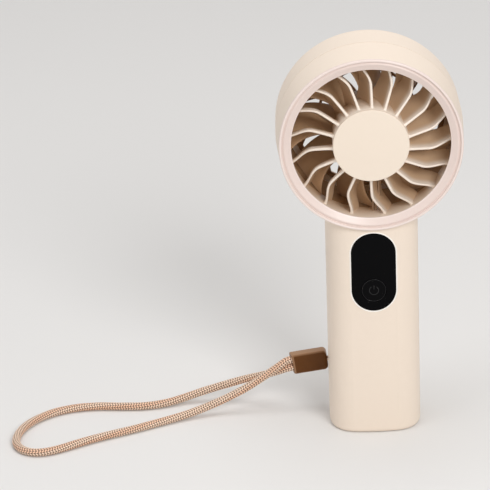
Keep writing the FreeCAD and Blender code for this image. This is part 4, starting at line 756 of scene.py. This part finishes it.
def addCap(values):
    # a disc with a rounded edge, and the hollow spigot that holds it in the drum
    front = capLow[1]
    seat = insertSizes["drumFront"] - values["seatGap"]
    wall = drumRadius - insertSizes["drumWall"] - values["seatGap"]
    hollow = wall - values["spigotWall"]
    outline = [(0, front), (drumRadius, front, values["edge"]), (drumRadius, seat, values["rearEdge"]),
               (wall, seat), (wall, capHigh[1]), (hollow, capHigh[1]), (hollow, seat), (0, seat)]
    mesh = gridMesh("hubCap", [revolved(outline)])
    addPiece("hubCap", mesh, "housing", "cream_cap", ["hub_cap"])


bladeSizes = {
    "count": 9, "thickness": 1.3, "edgeRound": 0.35, "bow": 0.08, "sweep": 14.0,
    "hubAngle": 30.0, "tipAngle": 57.0, "hubDepth": 13.6, "tipDepth": 11.2, "restTurn": 8.0,
    "front": -3.6, "hub": 16.4, "inside": 14.6, "tip": 37.0, "duct": 37.7, "rows": 26,
}
hubSizes = {
    "front": -4.4, "rear": 14.7, "round": 9.0, "wall": 2.2, "hub": 16.4, "frontRound": 0.4,
    "bore": 1.02, "boreEnd": 9.45, "bossFront": 5.7, "boss": 3.0, "bossRound": 0.4,
}


def bladeGrids(values):
    # aside = depth tan(slant) (1/2 - part) - bow; the middle of the blade leans by sweep share^2
    size = SimpleNamespace(**values)
    radius = np.linspace(size.inside, size.tip, size.rows)
    share = (radius - size.hub) / (size.duct - size.hub)
    depth = size.hubDepth + (size.tipDepth - size.hubDepth) * share
    slant = np.radians(size.hubAngle + (size.tipAngle - size.hubAngle) * share)
    reach, full = roundedShares(depth, size.edgeRound, size.edgeRound)
    part = reach / depth[:, None]
    bow = size.bow * depth[:, None] * 4 * part * (1 - part)
    aside = (depth * np.tan(slant))[:, None] * (0.5 - part) - bow
    thickness = size.thickness * (0.55 + 0.45 * np.sin(math.pi * (0.2 + 0.6 * part))) * full
    degrees = [size.restTurn + k * 360 / size.count + size.sweep * share ** 2
               for k in range(size.count)]
    return [bladeGrid(radius, turn, aside, size.front + reach, thickness) for turn in degrees]


def addImpeller(values):
    # the domed hub's outline turned round the axis, and the blades on it
    size = SimpleNamespace(**values)
    inner, roof = size.hub - size.wall, size.rear - size.wall
    hub = revolved([
        (inner, size.front), (size.hub, size.front, size.frontRound),
        (size.hub, size.rear, size.round), (0, size.rear), (0, size.boreEnd),
        (size.bore, size.boreEnd), (size.bore, size.bossFront),
        (size.boss, size.bossFront), (size.boss, roof, size.bossRound),
        (inner, roof, size.round - size.wall),
    ], segments=128, steps=14)
    mesh = gridMesh("impellerRotor", [hub] + bladeGrids(bladeSizes), sharpDegrees=40)
    addPiece("impellerRotor", mesh, "rotor", "taupe_rotor", ["impeller"])


grilleSizes = {
    "ribs": 22, "ribWidth": 1.25, "ribDepth": 1.84, "swirl": 26.0, "hub": 10.5, "middle": 22.0,
    "ringInside": 33.25, "ringOutside": 35.45, "flange": 36.5, "ribFront": 18.0, "back": 19.9,
    "seat": 19.05, "edge": 0.4, "rows": 28, "sink": 0.6, "hubRise": 0.4,
    "hooks": 4, "firstHook": 45, "hookWidth": 5.0, "hookReach": 0.7, "hookWall": 1.3, "hookSink": 0.5,
    "hookFront": 15.95, "catch": 16.95,
}


def ribGrids(values):
    # swirl angle = swirl (0.44 share + 0.56 share^2); the section across the rib is a rounded rectangle
    size = SimpleNamespace(**values)
    rows = size.rows
    radius = np.linspace(size.hub - size.sink, size.ringInside + size.sink, rows)
    share = (radius - radius[0]) / (radius[-1] - radius[0])
    swing = np.radians(size.swirl * (0.44 * share + 0.56 * share ** 2))
    centre = np.stack([radius * np.cos(swing), radius * np.sin(swing)], axis=1)
    ahead = unit(np.gradient(centre, axis=0))
    aside = np.stack([-ahead[:, 1], ahead[:, 0]], axis=1)
    width, deep = size.ribWidth / 2, size.ribDepth / 2
    offset, depth = roundedRectangle(np.full(rows, width), np.full(rows, deep),
                                     np.full(rows, size.edge), steps=4)
    flat = centre[:, None] + offset[..., None] * aside[:, None]
    y = size.ribFront + deep + depth
    grids = []
    for turn in np.radians(np.arange(size.ribs) * 360 / size.ribs):
        x = flat[..., 0] * math.cos(turn) - flat[..., 1] * math.sin(turn)
        z = flat[..., 0] * math.sin(turn) + flat[..., 1] * math.cos(turn)
        grids.append((closeEnds(np.stack([x, y, axisHeight + z], axis=-1)), False, True))
    return grids


def hookGrids(values):
    # snap hooks inside the shell: an L-shaped outline carried over a short arc of the ring
    size = SimpleNamespace(**values)
    ring, catch, front = size.ringOutside, size.catch, size.hookFront
    inside, tip = ring - size.hookWall, ring + size.hookReach
    foot = size.ribFront + size.hookSink
    outline = roundedOutline([(inside, front, 0), (tip, front, 0.2), (tip, catch, 0), (ring, catch, 0.1),
                              (ring, foot, 0), (inside, foot, 0)])
    half = math.degrees(size.hookWidth / 2 / ring)
    grids = []
    for k in range(size.hooks):
        turns = size.firstHook + k * 360 / size.hooks + np.linspace(-half, half, 7)
        hook = onHead(outline[None, :, 0], turns[:, None], outline[None, :, 1])
        grids.append((closeEnds(hook), False, True))
    return grids


def addGrille(values):
    # the outer ring with its flange, the middle ring and the hub turned round the axis, with ribs and hooks
    size = SimpleNamespace(**values)
    half, front, back = size.ribWidth / 2, size.ribFront, size.back
    ring = [(size.ringInside, front, 0.3), (size.ringOutside, front, 0.2),
            (size.ringOutside, size.seat), (size.flange, size.seat),
            (size.flange, back, 0.45), (size.ringInside, back, 0.4)]
    middle = [(size.middle - half, front + 0.2, 0.3), (size.middle + half, front + 0.2, 0.3),
              (size.middle + half, back, 0.4), (size.middle - half, back, 0.4)]
    hub = [(0, front), (size.hub, front, 0.3), (size.hub, back + size.hubRise, 0.8),
           (0, grilleBack)]
    grids = [revolved(outline) for outline in (ring, middle, hub)] + ribGrids(values) + hookGrids(values)
    # painted shade: the inner faces take the darker second tone, as in the duct's shade
    y = np.concatenate([grid[..., 1].ravel() for grid, _, _ in grids])
    shade = eased((back - 0.2 - y) / (back - 0.4 - front))
    mesh = gridMesh("rearGrille", grids, values={"secondShare": shade})
    addPiece("rearGrille", mesh, "housing", "cream_shell", ["rear_grille"], "grille_cream")


# display window and button
panelSizes = {
    "crown": 75.0, "face": -19.6, "recess": 0.15, "pocket": 1.05, "edge": 0.10,
    "hole": 5.75, "holeEdge": 0.16, "button": 5.6, "buttonRecess": 0.2, "buttonEdge": 0.3,
    "flange": 6.6, "flangeFront": -18.05, "flangeDepth": 0.8, "boss": 1.7,
    "trimRadius": 0.34, "trimGap": 0.27, "trimSink": 0.10, "rimInset": 0.20, "rimRadius": 0.09,
    "markRadius": 2.1, "markStroke": 0.30, "markGap": 64.0, "markBar": 1.9, "barRise": 0.35,
    "markRise": 0.012, "markSink": 0.05,
}
windowRadius = (windowHigh[0] - windowLow[0]) / 2
windowStraight = (windowHigh[2] - windowLow[2]) / 2 - windowRadius
windowMiddle = (windowHigh[2] + windowLow[2]) / 2


def crownDepth(x, inset):
    # y of the handle's crowned front face at x, moved inwards by inset
    radius = panelSizes["crown"] - inset
    return panelSizes["face"] + panelSizes["crown"] - np.sqrt(radius ** 2 - x ** 2)


def capsuleTurns(straight):
    # round a capsule: the outward angle, and the height of the middle line's point it starts from
    arc, side = np.linspace(0, math.pi, 73), np.linspace(1, -1, 25)[1:-1]
    turn = np.concatenate([arc, np.full(side.size, math.pi),
                           arc + math.pi, np.full(side.size, 2 * math.pi)])
    rise = np.concatenate([np.ones(arc.size), side, -np.ones(arc.size), -side])
    return turn, straight * rise


def addWindow(values):
    # a closed grid: outer wall, rounded edge, face, rounded edge of the button's hole, its wall, back
    turn, rise = capsuleTurns(windowStraight)
    lowEnd = windowMiddle - windowStraight
    quarter = np.linspace(0, math.pi / 2, 6)
    edge, holeEdge = values["edge"], values["holeEdge"]

    def outer(inset):
        reach = windowRadius - inset
        return np.stack([reach * np.cos(turn), windowMiddle + rise + reach * np.sin(turn)], axis=-1)

    rim = outer(edge)
    bearing = np.arctan2(rim[:, 1] - lowEnd, rim[:, 0])

    def hole(inset):
        reach = values["hole"] + inset
        return np.stack([reach * np.cos(bearing), lowEnd + reach * np.sin(bearing)], axis=-1)

    recess, pocket = values["recess"], values["pocket"]
    rows = [(outer(0), pocket)]
    rows += [(outer(edge * (1 - math.cos(t))), recess + edge * (1 - math.sin(t))) for t in quarter]
    rows += [(rim + (hole(holeEdge) - rim) * s, recess) for s in np.linspace(0, 1, 14)[1:-1]]
    rows += [(hole(holeEdge * (1 - math.sin(t))), recess + holeEdge * (1 - math.cos(t))) for t in quarter]
    rows += [(hole(0), pocket)]
    flat = np.array([row[0] for row in rows])
    inset = np.array([row[1] for row in rows])[:, None]
    grid = np.stack([flat[..., 0], crownDepth(flat[..., 0], inset), flat[..., 1]], axis=-1)
    mesh = gridMesh("displayWindow", [(grid, True, True)], sharpDegrees=40)
    addPiece("displayWindow", mesh, "housing", "black_gloss", ["display_window"])


def addWindowTrim(values):
    # a fine pale bead round the window, half sunk in the housing's edge: circle carried round the capsule; its
    # pale colour is a painted highlight
    radius = windowRadius + values["trimGap"]
    turn, rise = capsuleTurns(windowStraight)
    around = np.linspace(0, 2 * math.pi, 12, endpoint=False)
    reach = radius + values["trimRadius"] * np.cos(around)
    x = np.cos(turn)[:, None] * reach
    z = windowMiddle + rise[:, None] + np.sin(turn)[:, None] * reach
    y = crownDepth(x, values["trimSink"] - values["trimRadius"] * np.sin(around))
    mesh = gridMesh("windowTrim", [(np.stack([x, y, z], axis=-1), True, True)], sharpDegrees=60)
    addPiece("windowTrim", mesh, "housing", "cream_shell", finish="trim_painted_highlight")


def discGrid(rows, centreZ, segments=96):
    # rows of (radius, inset behind the crowned face or None, plain y) round the button's centre
    turn = np.linspace(0, 2 * math.pi, segments, endpoint=False)
    radius = np.array([row[0] for row in rows])[:, None]
    x = radius * np.cos(turn)
    z = centreZ + radius * np.sin(turn)
    y = np.array([crownDepth(x[k], row[1]) if row[1] is not None else np.full(segments, row[2])
                  for k, row in enumerate(rows)])
    return np.stack([x, y, z], axis=-1), False, True


def addButton(values):
    # crowned face, rounded edge, flange behind the window and boss over the switch
    size = SimpleNamespace(**values)
    centreZ = (buttonLow[2] + buttonHigh[2]) / 2
    quarter = np.linspace(0, math.pi / 2, 6)
    edge, recess, cap = size.buttonEdge, size.buttonRecess, size.button
    rows = [(r, recess, 0) for r in np.linspace(0, cap - edge, 9)]
    rows += [(cap - edge * (1 - math.sin(t)), recess + edge * (1 - math.cos(t)), 0) for t in quarter[1:]]
    front, rear = size.flangeFront, size.flangeFront + size.flangeDepth
    rows += [(cap, None, front), (size.flange, None, front), (size.flange, None, rear),
             (size.boss, None, rear), (size.boss, None, buttonHigh[1]), (0, None, buttonHigh[1])]
    mesh = gridMesh("powerButton", [discGrid(rows, centreZ)], sharpDegrees=40)
    addPiece("powerButton", mesh, "button", "black_button", ["power_button"])
    return centreZ


def addButtonMark(values, centreZ):
    # a ring open at the top and a bar in the opening, each a strip just proud of the button's face
    size = SimpleNamespace(**values)
    gap = size.markGap / 2
    turn = np.radians(np.linspace(90 + gap, 450 - gap, 72))
    half = size.markStroke / 2
    front, back = size.buttonRecess - size.markRise, size.buttonRecess + size.markSink
    section = [(-half, back), (-half, front), (half, front), (half, back)]

    def strip(middleX, middleZ, acrossX, acrossZ):
        x = np.stack([middleX + acrossX * s for s, _ in section], axis=1)
        z = np.stack([middleZ + acrossZ * s for s, _ in section], axis=1)
        inset = np.array([inset for _, inset in section])
        return closeEnds(np.stack([x, crownDepth(x, inset), z], axis=-1)), False, True

    ring = strip(size.markRadius * np.cos(turn), centreZ + size.markRadius * np.sin(turn),
                 np.cos(turn), np.sin(turn))
    top = size.markRadius + size.barRise
    reach = np.linspace(top, top - size.markBar, 8)
    bar = strip(np.zeros(8), centreZ + reach, np.ones(8), np.zeros(8))
    # a fine bead near the button's edge
    around = np.linspace(0, 2 * math.pi, 12, endpoint=False)
    turn = np.linspace(0, 2 * math.pi, 120, endpoint=False)[:, None]
    reach = size.button - size.rimInset + size.rimRadius * np.cos(around)
    x = reach * np.cos(turn)
    inset = size.buttonRecess - size.rimRadius * np.sin(around)
    rim = np.stack([x, crownDepth(x, inset), centreZ + reach * np.sin(turn)], axis=-1), True, True
    mesh = gridMesh("buttonMark", [ring, bar, rim], sharpDegrees=40)
    addPiece("buttonMark", mesh, "button", "display_grey", finish="mark_grey")


def addStage(look):
    # a plain floor, a pale room seen by the camera and in gloss, and three square lamps
    half = look["floorSize"] / 2
    mesh = bpy.data.meshes.new("floor")
    corners = [(-half, -half, 0), (half, -half, 0), (half, half, 0), (-half, half, 0)]
    mesh.from_pydata(corners, [], [(0, 1, 2, 3)])
    floor = newObject("floor", mesh)
    material, _, shader = newMaterial("floorPaper")
    shader.inputs["Base Color"].default_value = opaque(look["floorColor"])
    shader.inputs["Roughness"].default_value = look["floorRoughness"]
    shader.inputs["Specular IOR Level"].default_value = look["floorSpecular"]
    mesh.materials.append(material)
    world = bpy.data.worlds.new("softRoom")
    bpy.context.scene.world = world
    world.use_nodes = True
    tree = world.node_tree
    rays = addNode(tree, "ShaderNodeLightPath").outputs
    seen = mathNode(tree, "MAXIMUM", rays["Is Camera Ray"],
                    mathNode(tree, "MAXIMUM", rays["Is Glossy Ray"], rays["Is Transmission Ray"]))
    strength = addNode(tree, "ShaderNodeMapRange", Value=seen,
                       **{"To Min": look["skyLight"], "To Max": look["skySeen"]}).outputs["Result"]
    background = tree.nodes["Background"]
    background.inputs["Color"].default_value = opaque(look["skyColor"])
    tree.links.new(strength, background.inputs["Strength"])
    for name, lamp in look["lamps"].items():
        data = bpy.data.lights.new(name, "AREA")
        data.shape = "SQUARE"
        data.size, data.energy = lamp["size"], lamp["power"]
        holder = newObject(name, data)
        holder.location = lamp["place"]
        aim = Vector(lamp["aim"]) - Vector(lamp["place"])
        holder.rotation_euler = aim.to_track_quat("-Z", "Y").to_euler()
    print("stage and lamps placed")


addCamera(cameraView)
makeMaterials()
strapParts = addStrap()
clampPiece = addClamp(clampSizes)
addRing(ringSizes)
addInsert(insertSizes)
addCap(capSizes)
addImpeller(hubSizes)
addGrille(grilleSizes)
addWindow(panelSizes)
addWindowTrim(panelSizes)
buttonHeight = addButton(panelSizes)
addButtonMark(panelSizes, buttonHeight)
addStage(stageLook)
